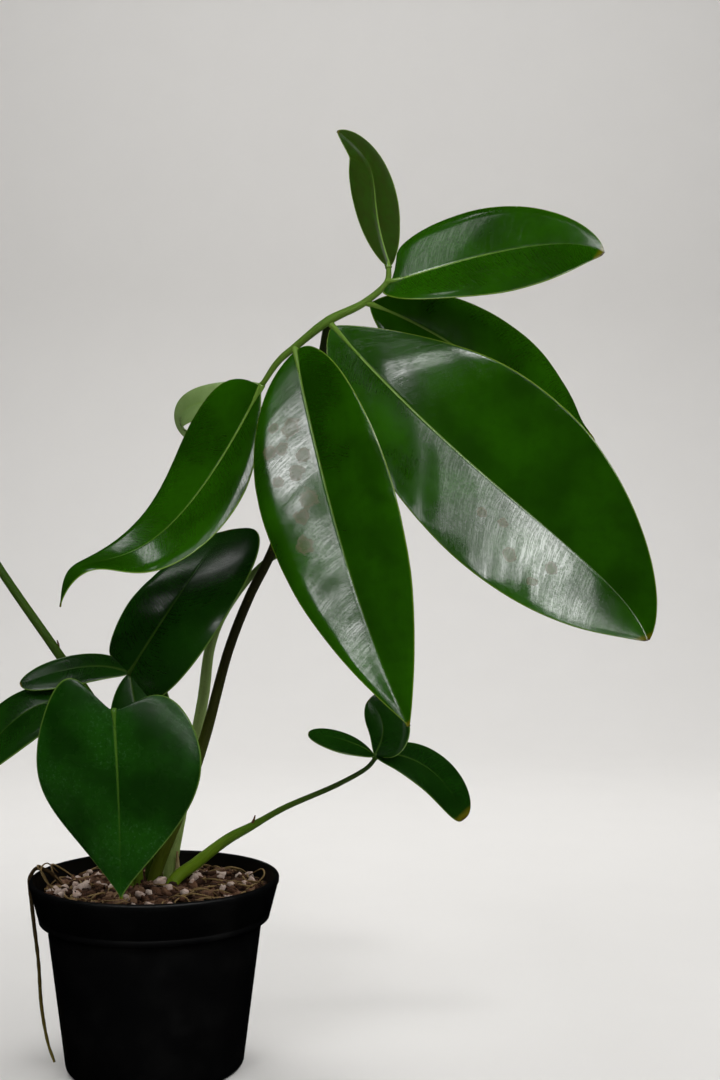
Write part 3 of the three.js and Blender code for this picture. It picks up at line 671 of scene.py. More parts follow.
STALK_COLOURS = {
    "leaf_a": (shade(86, 102, 22), shade(40, 38, 12), shade(42, 54, 12)),
    "leaf_b": (shade(92, 116, 26), shade(40, 62, 12), shade(36, 58, 12)),
    "leaf_c": (shade(94, 118, 26), shade(44, 70, 14), shade(40, 68, 14)),
    "leaf_d": (shade(88, 114, 24), shade(54, 78, 12), shade(46, 74, 10)),
    "leaf_e": (shade(108, 136, 24), shade(66, 96, 14), shade(36, 56, 12)),
    "leaf_f": (shade(90, 112, 24), shade(44, 66, 12), shade(36, 58, 12)),
    "leaf_g": (shade(140, 162, 88), shade(146, 172, 100), shade(58, 84, 28)),
}
STALK_SLOTS = {"leaf_a": "brown_stem", "leaf_g": "pale_stem"}
SHEATHS = {
    "leaf_a": (0.6, [0.02, 0.12, 1], 12, 1.3),
    "leaf_d": (0.63, [-0.1, 0.1, 1], 6, 1.2),
    "leaf_e": (0.5, [0.4, 0.5, 0.75], 7, 1.4),
}
papery = stalk_finish(
    "dry_sheath", shade(96, 92, 40), shade(92, 70, 34), shade(78, 48, 24), shade(50, 34, 20)
)


def sheath_tip(line, end, lean, length, radius):
    """The free point of the sheath that once wrapped the next leaf: it lies on the stalk and then
    stands off it, thin and curled."""
    foot, middle = walk(line, np.array([end - 0.08, end]))[0]
    tip = middle + unit(np.array(lean, float)) * length
    curl = middle * 0.4 + tip * 0.6 + np.array([0.5, 0, 0])
    return tube(stem_line([foot, middle, curl, tip]), [radius, radius, radius * 0.7, 0.3], 24, 12)


for leaf, (points, radii) in STALKS.items():
    line = stem_line(points)
    finish = stalk_finish(leaf + "_skin", *STALK_COLOURS[leaf], shade(96, 84, 40))
    stalk = ring_piece(leaf + "_stalk", [tube(line, radii, 90, 20, knots=0.012)])
    slot = STALK_SLOTS.get(leaf, "green_stem")
    finish_piece(stalk, finish, slot, leaf + "_petiole")
    if leaf in SHEATHS:
        tip = ring_piece(leaf + "_sheath", [sheath_tip(line, *SHEATHS[leaf])])
        finish_piece(tip, papery, slot, leaf + "_petiole")

rachis_skin = stalk_finish(
    "rachis_skin", shade(88, 118, 36), shade(80, 112, 32), shade(92, 122, 40), shade(66, 82, 26)
)
bow = tube(stem_line(RACHIS), [1.1, 1.5, 1.9, 1.5, 1.1], 60, 20, knots=0.02)
rachis = ring_piece("rachis", [bow])
finish_piece(rachis, rachis_skin, "green_stem", "leaf_a_petiole")

# %% [markdown]
# ## The climbing root and the scale leaf
# A thin root left the soil, climbed over the lip and hangs outside the pot. It is the same kind
# of tube as a stalk, but knotty. A pale scale leaf stands between the stalks, as a pointed tube.

# %% Root and scale leaf
ROOT = [
    [-40, 7, 72], [-45, 7.5, 80.5], [-50.3, 7, 84.7], [-54.3, 6, 85.6], [-56.8, 4.5, 81.5],
    [-56, 3, 74], [-54.2, 1, 62], [-51.8, -1, 46], [-49.8, -4, 27], [-46.4, -6, 11], [-43, -9, 4],
]
SCALE_LEAF = [[8.2, 14.6, 70], [8.1, 14.6, 80], [8, 14.6, 91.5]]

root_skin = stalk_finish(
    "root_skin", shade(60, 44, 26), shade(58, 46, 22), shade(104, 92, 34), shade(34, 26, 18)
)
root_rings = tube(stem_line(ROOT), [0.9, 0.9, 0.9, 0.8, 0.8, 0.6], 160, 12, (0, 1, 0), 0.1)
root = ring_piece("hanging_root_tube", [root_rings])
finish_piece(root, root_skin, "root", "hanging_root")
scale_skin = stalk_finish(
    "scale_skin", shade(170, 176, 120), shade(176, 170, 128), shade(150, 124, 84), shade(110, 92, 60)
)
scale = ring_piece("scale_leaf_tube", [tube(stem_line(SCALE_LEAF), [1.6, 1.5, 0.4], 24, 14)])
finish_piece(scale, scale_skin, "pale_stem", "scale_leaf")

# %% [markdown]
# ## Fibres on the bed
# Coir fibres and dead rootlets lie between the chips, straw coloured to brown, and a few curl up
# against the rim. Each one is a thin tube along a line that bends a little at every step, so a
# loop with a fixed seed makes the whole tangle.

# %% Fibres
RIM_CURLS = [
    [[-42, 14, 77.5], [-47, 11, 81], [-52, 6, 86.5], [-52.5, 0, 88], [-48, -6, 85], [-44, -9, 79]],
    [[-40, -10, 78], [-46, -8, 82], [-50.5, -2, 86.8], [-49, 6, 88], [-45, 9, 83]],
    [[-38, 18, 78], [-45, 20, 82], [-49, 15, 85.6], [-47, 8, 83], [-42, 4, 79]],
    [[44, 8, 78], [47.5, 12, 81], [46, 19, 82.5], [40, 22, 79]],
]


def wandering(draw, steps=5):
    """A line over the bed: from a random place, each step turns a little and stays in the pot."""
    heading = draw.uniform(0, 2 * np.pi) + np.cumsum(draw.uniform(-0.8, 0.8, steps))
    stride = draw.uniform(2.0, 5.0)
    angle, radius = draw.uniform(0, 2 * np.pi), 48 * np.sqrt(draw.uniform(0.12, 1))
    x = radius * np.cos(angle) + np.cumsum(stride * np.cos(heading))
    y = radius * np.sin(angle) + np.cumsum(stride * np.sin(heading))
    inward = np.minimum(1, 48.5 / np.hypot(x, y))
    x, y = x * inward, y * inward
    lift = 0.8 + 1.4 * np.sin(np.linspace(0, np.pi, steps)) * draw.uniform(0.2, 1)
    return np.stack([x, y, soil_height(x, y) + lift], -1).tolist()


FIBRES = 90
draw = np.random.default_rng(21)
lines = [wandering(draw) for _ in range(FIBRES)] + RIM_CURLS
strands = [tube(stem_line(line), [0.3, 0.42, 0.36, 0.2], 18, 6, (0, 0, 1)) for line in lines]
straw = stalk_finish(
    "dry_fibre", shade(120, 98, 62), shade(150, 126, 84), shade(96, 74, 46), shade(60, 42, 26)
)
finish_piece(ring_piece("soil_fibres", strands), straw, "soil", "soil")
print(len(strands), "fibres")

# %% [markdown]
# ## The outline of a blade
# A blade is two halves that share a midrib, each with its own width. It could be traced as a flat
# outline and filled, but then no line of points would run along the midrib, where light breaks.
# Here the width of a half is a formula with two exponents, largest where they say, and the points
# of a row lie close together over the midrib and near the margin.

# %% Blade outline
SHEET = {
    "half_thickness": 0.28, "edge_thickness": 0.14, "thin_edge": 3, "round_edge": 0.25,
    "rib_depth": 1.1, "rib_taper": 0.7, "rib_half": 1.0, "channel": 0.3, "channel_half": 0.5,
    "crease": 0.7, "foot_half": 0.8, "spread": 0.08, "opening": 0.35,
}


def width_share(t, towards_base, towards_tip):
    """t^p (1-t)^q over its largest value, which it has at t = p / (p + q)."""
    widest = towards_base / (towards_base + towards_tip)
    most = widest**towards_base * (1 - widest) ** towards_tip
    return t**towards_base * (1 - t) ** towards_tip / most


def columns(width, count):
    """Distances from the midrib to the margin in each row: close together over the midrib and
    near the margin, and even between them."""
    near = np.minimum(2.0, 0.4 * width)
    over_rib = np.linspace(0, 1, 7)[:-1]
    spread = np.linspace(0, 1, count)
    spread = spread * (1 + 0.5 * (1 - spread))
    return np.concatenate([near * over_rib, near + (width - near) * spread], 1)


def two_halves(blade, t, count):
    """The distance from the midrib of each point in a row, negative on the left, and the width of
    the half that it lies in."""
    halves = []
    for name in ("left", "right"):
        widest, towards_base, towards_tip = blade[name]
        width = np.maximum(widest * width_share(t, towards_base, towards_tip), SHEET["foot_half"])
        halves.append((width, columns(width, count)))
    (left_width, left_out), (right_width, right_out) = halves
    out = np.concatenate([-left_out[:, :0:-1], right_out], 1)
    return out, np.where(out < 0, left_width, right_width)


# %% [markdown]
# ## The relief of a blade
# No blade is a flat card. It is folded like an open book, and opens more or less near its foot.
# Its margins droop and roll down, it swells a little between the side veins, and it ruffles at
# the edge. All of that could be sculpted, but as a sum of formulas each leaf needs only a few
# numbers of its own. The waves are under a millimetre: they show where they break a highlight.

# %% Blade relief
WAVES = {"height": 0.4, "slow": 17, "ruffle": 7, "ruffle_beat": 19, "swelling": 11}
ROLL_FROM = 0.72


def opened_fold(blade, t):
    """The fold of both halves: base_fold at the foot, eased by u^2 (3 - 2u) to fold further on."""
    opened = np.clip(t / SHEET["opening"], 0, 1)
    base_fold = blade.get("base_fold", blade["fold"])
    return np.radians(base_fold + (blade["fold"] - base_fold) * opened**2 * (3 - 2 * opened))


def height_over_rib(blade, fold, t, along, out, width, lean, phase):
    """How high the sheet lies over the midrib: distance times sin(fold), less droop w r^2, where
    r is the share of the half width w. Waves along the blade, ruffles that grow with r^4 and
    swellings along the side veins are added, and the roll pulls the last part of r down. All of
    them fade at both ends and where the blade is narrow."""
    r = out / width
    half = np.abs(r)
    crease = SHEET["crease"]
    lifted = np.sqrt(out**2 + crease**2) - crease
    rise = lifted * np.sin(fold) - blade["droop"] * width * half**2
    calm = np.minimum(1, width / 20) * np.sin(np.pi * t)
    slow = np.sin(along / WAVES["slow"] + phase + 1.3 * r) * np.sin(2.2 * half + phase)
    beat = np.sin(along / WAVES["ruffle_beat"])
    ruffle = np.sin(along / WAVES["ruffle"] + 2 * phase + 2.0 * np.sign(r) + beat) * half**4
    seed = int(10 * phase) + 1
    swelling = lumps(lean, 0.25 * out, WAVES["swelling"], seed) * np.minimum(half * 3, 1)
    waves = WAVES["height"] * slow + WAVES["height"] * ruffle
    rise = rise + (waves + blade.get("folds", 0.05) * swelling) * calm
    rolled = np.clip((half - ROLL_FROM) / (1 - ROLL_FROM), 0, 1) ** 2
    return rise - blade.get("roll", 1.0) * rolled * calm


def sheet_faces(t, out, width):
    """How far the upper and the lower face lie from the middle of the sheet. The sheet thins out
    towards the margin, a narrow channel runs over the midrib, and the rounded rib stands below:
    both are e^(-(out / half)^2) across."""
    edge = width - np.abs(out)
    thin = np.clip(edge / SHEET["thin_edge"], 0, 1)
    body = SHEET["edge_thickness"] + (SHEET["half_thickness"] - SHEET["edge_thickness"]) * thin
    body = body * np.sqrt(np.clip(edge / SHEET["round_edge"], 0, 1) * 0.9 + 0.1)
    channel = SHEET["channel"] * np.minimum(1, width / 18) ** 2
    channel = channel * np.exp(-((out / SHEET["channel_half"]) ** 2)) * (1 - t) ** 0.5
    rib = SHEET["rib_depth"] * np.minimum(1, width / 4) * (1 - SHEET["rib_taper"] * t)
    rib = rib * np.exp(-((out / SHEET["rib_half"]) ** 2))
    return body - channel, body + rib


# %% [markdown]
# ## A whole blade
# The rows of a blade do not run straight across: at the foot of a heart or an arrow they sweep
# back round the lobes. The face of the blade turns from one direction at the foot to another at
# the tip, so a blade can twist. With the place of each point go the values that the finish reads,
# such as how near a dried drop of water lies.

# %% Blade rings
SIDE_VEINS = {"slant": 0.28, "bend": 0.3}
FAR = 9.0


def stained(along, out, length, width, drops):
    """How near a point lies to a dried drop: its distance over the drop's radius, for the nearest
    drop. A drop is its share of the midrib, its signed share of the half width and its radius."""
    nearest = np.full(out.shape, FAR)
    for share, r, radius in drops:
        distance = np.hypot(along - share * length, out - r * width) / radius
        nearest = np.minimum(nearest, distance)
    return nearest


def blade_marks(blade, t, length, out, width, lean):
    """What each point carries: its share of the midrib, its distances from the midrib and the
    margin, its place among the side veins, its face, and how near the dry tip and a drop are."""
    both = lambda table: np.concatenate([table, table[:, ::-1]], 1)
    flat = np.ones_like(out)
    dry = blade.get("dry", 0.01)
    return {
        "along": both(t * flat),
        "out": both(np.abs(out)),
        "edge": both(width - np.abs(out)),
        "vein": both(lean),
        "side": np.concatenate([flat, -flat], 1),
        "tip": both((t - 1 + dry) / dry * flat),
        "stain": both(stained(length * t, out, length, width, blade.get("drops", []))),
    }


def blade_rings(blade, start, rows=150, count=26, phase=0.0):
    """Rings round a blade, over the upper face from the left margin to the right and back below.

    A row lies at the share t of the midrib. On the side of a lobe it sweeps back by |r| times
    lobe (t/s) e^(1 - t/s) (1 - t), where s is the spread, and past the midrib's ends it goes
    straight on. Its points go out by their distance times cos(fold), square to the midrib and to
    the face, and up by the height over the rib. The upper face and the lower face follow."""
    midrib = bow_line([start, *blade["midrib"]])
    step = (1 - np.cos(np.linspace(0, np.pi, rows))) / 2
    t = (0.002 + 0.996 * step)[:, None]
    out, width = two_halves(blade, t, count)
    spread = SHEET["spread"]
    lobe = np.where(out < 0, *blade.get("lobes", (0, 0)))
    back = lobe * (t / spread) * np.exp(1 - t / spread) * (1 - t)
    length = walk(midrib, 0.0)[2]
    reach = length * t - np.abs(out / width) * back
    share = np.clip(reach / length, 0, 1)
    centre, way, _ = walk(midrib, share)
    centre = centre + way * (reach - share * length)[..., None]
    base_face, tip_face = np.array(blade["face"], float)
    face = base_face + (tip_face - base_face) * share[..., None]
    up = unit(face - (face * way).sum(-1, keepdims=True) * way)
    right_way = np.cross(way, up)
    fold = opened_fold(blade, t)
    lean = length * t - SIDE_VEINS["slant"] * np.abs(out)
    lean = lean - SIDE_VEINS["bend"] * out**2 / np.maximum(width, 4)
    rise = height_over_rib(blade, fold, t, length * t, out, width, lean, phase)
    sheet = centre + right_way * (out * np.cos(fold))[..., None] + up * rise[..., None]
    over, under = sheet_faces(t, out, width)
    upper = sheet + up * over[..., None]
    lower = sheet - up * under[..., None]
    rings = np.concatenate([upper, lower[:, ::-1]], 1)
    return rings, blade_marks(blade, t, length, out, width, lean)


# %% [markdown]
# ## The finish of a leaf
# A philodendron blade is leathery and looks wet. Its upper face is deep green, with a pale
# midrib, faint side veins and a thin yellow-green rim. Its gloss is a film over the green, strong
# in fine streaks across the blade, nearly gone between them and cut by hair lines, so a highlight
# breaks up as on real skin. Drops of water have dried to dull stains. The lower face is paler and
# duller. A painted picture could hold this for one leaf, but a recipe of noise fits every leaf
# and stays sharp from close by.


# %% Leaf finish
VEIN_GAP = 2.1


def leaf_finish(name, deep, fresh, rib, rim, under, gloss=0.1, shine=0.3, wet=1.0, dust_and_sparkle=0.0):
    """A blade's finish from its five colours. gloss is its roughness, shine what the leaf mirrors by
    itself, wet what the film over it mirrors, and dust_and_sparkle the share of pale specks, which are
    dust and also a painted sparkle of highlights."""
    bench = Bench(name, specular_ior_level=shine, coat_roughness=gloss)
    along, out, edge = bench.value("along"), bench.value("out"), bench.value("edge")
    above = bench.ease(bench.value("side"), -0.2, 0.2)
    clouds, mottle = bench.noise(26, 3), bench.noise(3.2, 4, 0.6)
    # Side veins wander a little and fade in places
    wander = bench.noise(9, 2) * 2.4 + bench.noise(1.6, 2) * 0.6
    vein = bench.value("vein") + wander
    line = bench.ease((vein * (2 * math.pi / VEIN_GAP)).sine(), 0.8, 1.0)
    line = line * bench.ease(bench.noise(7, 3), 0.4, 0.6)
    # The green of the upper face, and the paler one below
    colour = bench.mix(bench.ease(clouds, 0.3, 0.7), deep, fresh)
    colour = bench.mix(bench.ease(mottle, 0.4, 0.75) * 0.3, colour, deep)
    colour = bench.mix(line * 0.08, colour, deep)
    # Pale specks: dust, and also a painted sparkle of highlights
    dust_and_sparkle_specks = bench.ease(bench.noise(1.1, 4, 0.7), 0.54, 0.7) * bench.ease(clouds, 0.4, 0.6)
    colour = bench.mix(dust_and_sparkle_specks * dust_and_sparkle, colour, shade(84, 128, 84))
    paler = bench.mix(bench.ease(mottle, 0.35, 0.7) * 0.4, under, fresh)
    colour = bench.mix(above, paler, colour)
    # Midrib, rim, and a tip that yellows and then dries brown
    rib_half = 0.6 - along * 0.4
    on_rib = bench.ease(out / rib_half, 0.5, 1.5, 1.0, 0.0)
    colour = bench.mix(on_rib * bench.ease(along, 0.1, 0.9, 0.9, 0.08), colour, rib)
    on_rim = bench.ease(edge, 0.15, 0.7, 1.0, 0.0)
    colour = bench.mix(on_rim * 0.7, colour, rim)
    at_tip = bench.value("tip") + bench.noise(2.5, 3) * 0.8 - 0.4
    colour = bench.mix(bench.ease(at_tip, -0.9, 0.1) * 0.8, colour, shade(98, 92, 10))
    colour = bench.mix(bench.ease(at_tip, 0.45, 0.8) * 0.9, colour, shade(58, 34, 14))
    # Dried drops with a darker ring
    from_drop = bench.value("stain") + bench.noise(3.4, 4, 0.65) * 1.7 - 0.85
    drop = bench.ease(from_drop, 0.8, 1.15, 1.0, 0.0) * above
    ring = drop * bench.ease(from_drop, 0.5, 0.9)
    colour = bench.mix(drop * 0.24 + ring * 0.26, colour, shade(104, 86, 60))
    rough = gloss + bench.noise(7, 3) * 0.06 + drop * 0.1 + on_rim * 0.1 + (1 - above) * 0.28
    # Fine streaks across the blade, and hair lines where their noise crosses its middle value
    weave = bench.node("CombineXYZ", None, {0: vein * 2.2, 1: out * 0.1})
    streaks = bench.node("TexNoise", None, {"Vector": weave, "Scale": 1.0, "Detail": 2.5})
    hair = bench.ease(abs(streaks - 0.5), 0.0, 0.022, 1.0, 0.0)
    height = streaks * 0.026 + bench.noise(0.5, 2) * 0.012 + mottle * 0.03
    height = height - line * 0.004 - hair * 0.006
    film = bench.ease(streaks + bench.noise(1.2, 2) * 0.5, 0.6, 0.88, 0.12, 0.8)
    film = film * above * (1 - drop * 0.6) * (1 - hair * 0.7) * wet
    return bench.feed(base_color=colour, roughness=rough, coat_weight=film, normal=bench.bump(height))


# %% [markdown]
# ## The greens
# The grown leaflets are the brightest. The older small leaves are darker, with less gloss: their
# greens are partly their own deeper colour and partly painted shade, as they stand in the shade
# of the grown leaf. The heart-shaped one is dull, with pale specks that are dust and also a painted
# sparkle of highlights. The first leaflet has paler greens, a painted reflection on its cupped face.
# Each green is the same recipe with its own colours, so the leaves look like one plant.

# %% Leaf colours
grown = {
    "deep": shade(25, 62, 2), "fresh": shade(36, 84, 3), "rib": shade(112, 146, 58),
    "rim": shade(116, 146, 44), "under": shade(38, 56, 3),
}
# Darker greens: partly the older leaves' own deeper colour, partly painted shade from the grown leaf
# above them
older_and_shaded = {
    "deep": shade(13, 42, 4), "fresh": shade(22, 60, 7), "rib": shade(52, 80, 24),
    "rim": shade(104, 138, 52), "under": shade(30, 50, 12),
}
heart = {**older_and_shaded, "deep": shade(12, 46, 2), "fresh": shade(24, 74, 6), "rib": shade(70, 108, 30)}
# Leaflet 1's pale greens are a painted reflection: its cupped face mirrors the light
painted_sheen_greens = {**grown, "deep": shade(110, 138, 76), "fresh": shade(142, 168, 106)}
grown_leaf = leaf_finish("grown_leaflet", **grown)
older_and_shaded_leaf = leaf_finish("older_and_shaded_leaf", **older_and_shaded, gloss=0.19, shine=0.2, wet=0.6, dust_and_sparkle=0.06)
heart_leaf = leaf_finish("heart_leaf", **heart, gloss=0.24, shine=0.18, wet=0.4, dust_and_sparkle=0.3)
painted_sheen_leaf = leaf_finish("painted_sheen_leaflet", **painted_sheen_greens, gloss=0.2)
print("four leaf finishes, of", len(grown_leaf.node_tree.nodes), "nodes each")

# %% [markdown]
# ## The seven leaflets
# They are listed from the left end of the rachis to the right end. A seat on the rachis, the
# distance from it, the two handles and the tip give the midrib. The face is where the upper side
# looks at the foot and at the tip. Each half has its largest width and its two exponents. One
# leaflet copied seven times would be quicker, but no two leaflets of a plant are alike. A short
# fleshy foot joins every leaflet to the rachis.

# %% Leaflets
LEAFLETS = {
    1: dict(seat=RACHIS[0], gap=2.2, midrib=[[41, -24, 293], [-4, -8, 296], [17, 0, 277]],
            face=[[-0.3, -0.6, 0.7], [-0.8, -0.55, 0]], right=(8.5, 0.6, 0.6), left=(9, 0.6, 0.6),
            fold=12, droop=0.1),
    2: dict(seat=RACHIS[0], gap=0.4, midrib=[[-3, -39, 190], [-22, -72, 246], [-29, -67, 206]],
            face=[[-0.46, -0.84, 0.28], [-0.78, -0.55, 0.3]], right=(26.8, 0.34, 1.12),
            left=(24.2, 1.14, 1.28), fold=7, droop=0.11),
    3: dict(seat=RACHIS[2], gap=2.2, midrib=[[72, -77, 271], [88, -79, 206], [110, -90, 161]],
            face=[[-0.61, -0.72, 0.27], [-0.18, -0.96, 0.25]], right=(29.4, 0.72, 1.1),
            left=(32.7, 0.62, 0.92), fold=22, droop=0.07, roll=2.0, folds=0.1,
            drops=[(0.21, 0.32, 4.2), (0.26, 0.7, 3), (0.26, 0.5, 2.8), (0.29, 0.2, 3),
                   (0.33, 0.34, 3.2), (0.4, 0.26, 3.8), (0.44, 0.42, 3), (0.51, 0.5, 3.6),
                   (0.34, 0.62, 2.4), (0.2, 0.62, 2.4)]),
    4: dict(seat=APEX, gap=2.8, midrib=[[139, -40, 254], [200, -62, 219], [205, -74, 193]],
            face=[[0.3, -0.88, 0.38], [-0.33, -0.94, 0]], right=(38.7, 0.59, 0.64),
            left=(41.6, 0.83, 0.84), base_fold=8, fold=20, droop=-0.07, roll=0.3, folds=0.12,
            drops=[(0.64, 0.55, 3.2), (0.73, 0.36, 2.8), (0.53, 0.37, 2.4), (0.72, 0.66, 2.2),
                   (0.58, 0.3, 2.2)]),
    5: dict(seat=RACHIS[4], gap=2.3, midrib=[[157, -8, 314], [180, 14, 273], [199, 22, 279]],
            face=[[0.45, -0.88, 0.1], [0.3, -0.88, 0.35]], right=(27.3, 0.65, 0.69),
            left=(27, 0.81, 0.57), fold=6, droop=0.1),
    6: dict(seat=RACHIS[5], gap=2, midrib=[[112, -52, 340], [172, -56, 363], [190, -59, 349]],
            face=[[-0.1, -0.75, 0.6], [0.2, -0.88, 0.35]], right=(23.5, 0.5, 0.56),
            left=(23.2, 0.48, 0.8), fold=13, droop=0.05, lobes=(4, 4), dry=0.02),
    7: dict(seat=RACHIS[6], gap=0.6, midrib=[[90, -36, 384], [105, -7, 394], [81, -21, 409]],
            face=[[-0.78, 0.52, -0.34], [-0.68, 0.68, -0.28]], right=(16.3, 0.55, 0.77),
            left=(16.1, 0.6, 0.7), fold=7, droop=0.14),
}


def foot_tube(seat, blade, start):
    """The fleshy foot: a short tube from the seat into the first millimetres of the midrib."""
    midrib = bow_line([start, *blade["midrib"]])
    inner = walk(midrib, np.array([0.02, 0.05, 0.09]))[0]
    rings, _ = tube(stem_line([seat, start, *inner]), [1.5, 1.25, 1.0, 0.7, 0.35], 24, 14)
    marks = {"along": 0.01, "out": 0.0, "edge": FAR, "vein": 0.0, "side": 1.0, "tip": -FAR, "stain": FAR}
    return rings, {key: np.full(rings.shape[:2], value) for key, value in marks.items()}


for number, blade in LEAFLETS.items():
    seat = np.array(blade["seat"], float)
    start = seat + unit(np.array(blade["midrib"][0]) - seat) * blade["gap"]
    stacks = [blade_rings(blade, start, phase=1.7 * number), foot_tube(seat, blade, start)]
    leaflet = ring_piece(f"leaflet_{number}", stacks)
    # Leaflet 1 takes the greens with the painted reflection
    finish = painted_sheen_leaf if number == 1 else grown_leaf
    finish_piece(leaflet, finish, "leaf", f"leaf_a_leaflet_{number}")

# %% [markdown]
# ## The smaller leaves
# The young leaves of this plant are hearts and arrows. A heart is one blade whose rows sweep back
# round its lobes. An arrow could be cut from one outline too, but its lobes twist freely, so it
# is a main blade with two small ones that point back from the same joint on top of the stalk.

# %% Smaller leaves
SMALL_LEAVES = {
    "leaf_b": [
        dict(midrib=[[3, -30, 193], [18, -30, 216], [29, 20, 237]],
             face=[[-0.3, -0.9, 0.1], [-0.3, -0.5, 0.8]],
             right=(27, 0.35, 0.32), left=(20.5, 0.3, 0.42), fold=7, droop=0.11, lobes=(7, 7)),
        dict(midrib=[[-21, -15, 181], [-38, -22, 178], [-54.8, -24, 171]],
             face=[[-0.1, -0.7, 0.7], [0, -0.8, 0.6]],
             right=(7.5, 0.4, 0.5), left=(9, 0.6, 0.5), fold=8, droop=0.1),
        dict(midrib=[[-7, -19, 166], [-4, -22, 154], [0, -22, 138]],
             face=[[-0.1, -0.9, 0.1], [0, -0.9, -0.1]],
             right=(13, 0.7, 0.5), left=(15, 0.35, 0.5), fold=4, droop=0.1),
    ],
    "leaf_c": [
        dict(midrib=[[-8, -58, 148], [-6.5, -57, 122], [-6, -58, 87]],
             face=[[-0.08, -1, 0], [-0.36, -0.93, 0.07]],
             right=(35.5, 0.62, 1.25), left=(34.8, 0.58, 1.3), fold=4, droop=0.13, lobes=(10, 22)),
    ],
    "leaf_d": [
        dict(midrib=[[-108, 21, 252], [-132, 22, 246], [-152, 26, 214]],
             face=[[0, -0.4, 0.9], [-0.6, -0.4, 0.6]],
             right=(26, 0.5, 0.8), left=(26, 0.5, 0.8), fold=8, droop=0.12, lobes=(12, 12)),
    ],
    "leaf_e": [
        dict(midrib=[[112, 97, 127], [137, 104, 116], [144, 108, 88]],
             face=[[0, -0.6, 0.8], [0.6, -0.6, 0.5]],
             right=(15, 0.45, 0.5), left=(14.5, 0.6, 0.32), fold=8, droop=0.1, dry=0.04),
        dict(midrib=[[92, 90, 130], [78, 89, 134], [64.8, 90, 135.6]],
             face=[[0, -0.4, 0.9], [0, -0.4, 0.9]],
             right=(8, 0.8, 0.5), left=(11, 0.6, 0.5), fold=6, droop=0.1),
        dict(midrib=[[104, 98, 132], [106, 104, 142], [95, 108, 150]],
             face=[[-0.5, -0.7, 0.5], [-0.3, -0.8, 0.4]],
             right=(15, 0.2, 0.4), left=(9, 0.8, 0.5), fold=6, droop=0.1),
    ],
    "leaf_f": [
        dict(midrib=[[-40, -26, 172], [-58, -28, 162], [-78, -32, 128]],
             face=[[0.2, -0.6, 0.8], [-0.5, -0.7, 0.4]],
             right=(13, 0.9, 0.7), left=(16, 0.5, 0.7), fold=8, droop=0.1, lobes=(4, 4)),
    ],
    "leaf_g": [
        dict(midrib=[[76, 18, 236], [95, 24, 218], [106, 30, 188]],
             face=[[0, -0.4, 0.9], [0.4, -0.6, 0.6]],
             right=(15, 0.5, 0.7), left=(15, 0.5, 0.7), fold=8, droop=0.1),
        dict(midrib=[[58, 24, 238], [58, 30, 246], [62, 36, 252]],
             face=[[-0.4, -0.7, 0.5], [-0.3, -0.6, 0.7]],
             right=(7, 0.8, 0.5), left=(7, 0.8, 0.5), fold=6, droop=0.1),
        dict(midrib=[[60, 12, 234], [64, 6, 228], [70, 4, 218]],
             face=[[-0.2, -0.4, 0.9], [0.2, -0.8, 0.5]],
             right=(7, 0.8, 0.5), left=(7, 0.8, 0.5), fold=6, droop=0.1),
    ],
}
JOINT_RISE = 2.3


def joint_of(leaf):
    """The joint lies over the stalk's top, along the main blade's face direction."""
    top = np.array(STALKS[leaf][0][-1], float)
    main = SMALL_LEAVES[leaf][0]
    way = unit(np.array(main["midrib"][0]) - top)
    face = np.array(main["face"][0])
    return top, top + unit(face - (face @ way) * way) * JOINT_RISE


for leaf, blades in SMALL_LEAVES.items():
    top, joint = joint_of(leaf)
    stacks = [foot_tube(top, blades[0], joint)]
    for number, blade in enumerate(blades):
        stacks.append(blade_rings(blade, joint, 120, 20, phase=2.1 * number + len(leaf)))
    whole = ring_piece(leaf + "_leaf", stacks)
    finish_piece(whole, heart_leaf if leaf == "leaf_c" else older_and_shaded_leaf, "dark_leaf", leaf + "_blade")

# %% [markdown]
# ## The paper
# A pale sweep of paper carries the pot and rises behind it without an edge. It could be a plain
# floor and a wall, but then a line would run behind the plant. The paper is kept out of the
# gloss: a pale sheet mirrored in wet leaves would wash out their green, and in a real studio
# black cards would hide it from them.


# %% Paper
SWEEP = {"front": -1900, "bend_from": 900, "bend": 600, "top": 3200, "half_width": 2100}


def paper_finish():
    """Matt and pale, with faint clouds."""
    bench = Bench("paper", specular_ior_level=0.2)
    colour = bench.mix(bench.noise(60, 3) * 0.5, shade(226, 224, 221), shade(220, 218, 215))
    return bench.feed(base_color=colour, roughness=0.9 - bench.noise(8, 2) * 0.1)


def paper_sweep():
    """A strip of paper: flat on the floor, a quarter circle behind the plant, then upright."""
    bend = arc((SWEEP["bend_from"], SWEEP["bend"]), SWEEP["bend"], -90, 0, 33)
    upright = [SWEEP["bend_from"] + SWEEP["bend"], SWEEP["top"]]
    profile = np.vstack([[[SWEEP["front"], 0]], bend, [upright]])
    side = np.linspace(-SWEEP["half_width"], SWEEP["half_width"], 3)
    x, y = np.meshgrid(side, profile[:, 0])
    points = np.stack([x, y, np.broadcast_to(profile[:, 1:], x.shape)], -1)
    row = np.arange(len(profile) - 1)[:, None] * 3
    here = np.arange(2)[None, :]
    quads = np.stack([row + here, row + here + 1, row + here + 4, row + here + 3], -1)
    return build_mesh("paper_sweep", points.reshape(-1, 3), [quads.reshape(-1, 4)], {})


floor = paper_sweep()
floor.data.materials.append(paper_finish())
floor.visible_glossy = False

# %% [markdown]
# ## The lights
# Where a highlight lies on a leaf tells where its lamp stood: the leaf's face is halfway between
# the way to the camera and the way to the lamp. Read leaf by leaf, the lamps stood in front at
# the right and at the left, with weaker ones low, high and at the right side. The key lamps here
# are soft cards at those places. Broad lamps from behind lighten the shadows and others light the
# paper, and none of these is mirrored, so that the leaves stay deep green between the highlights.


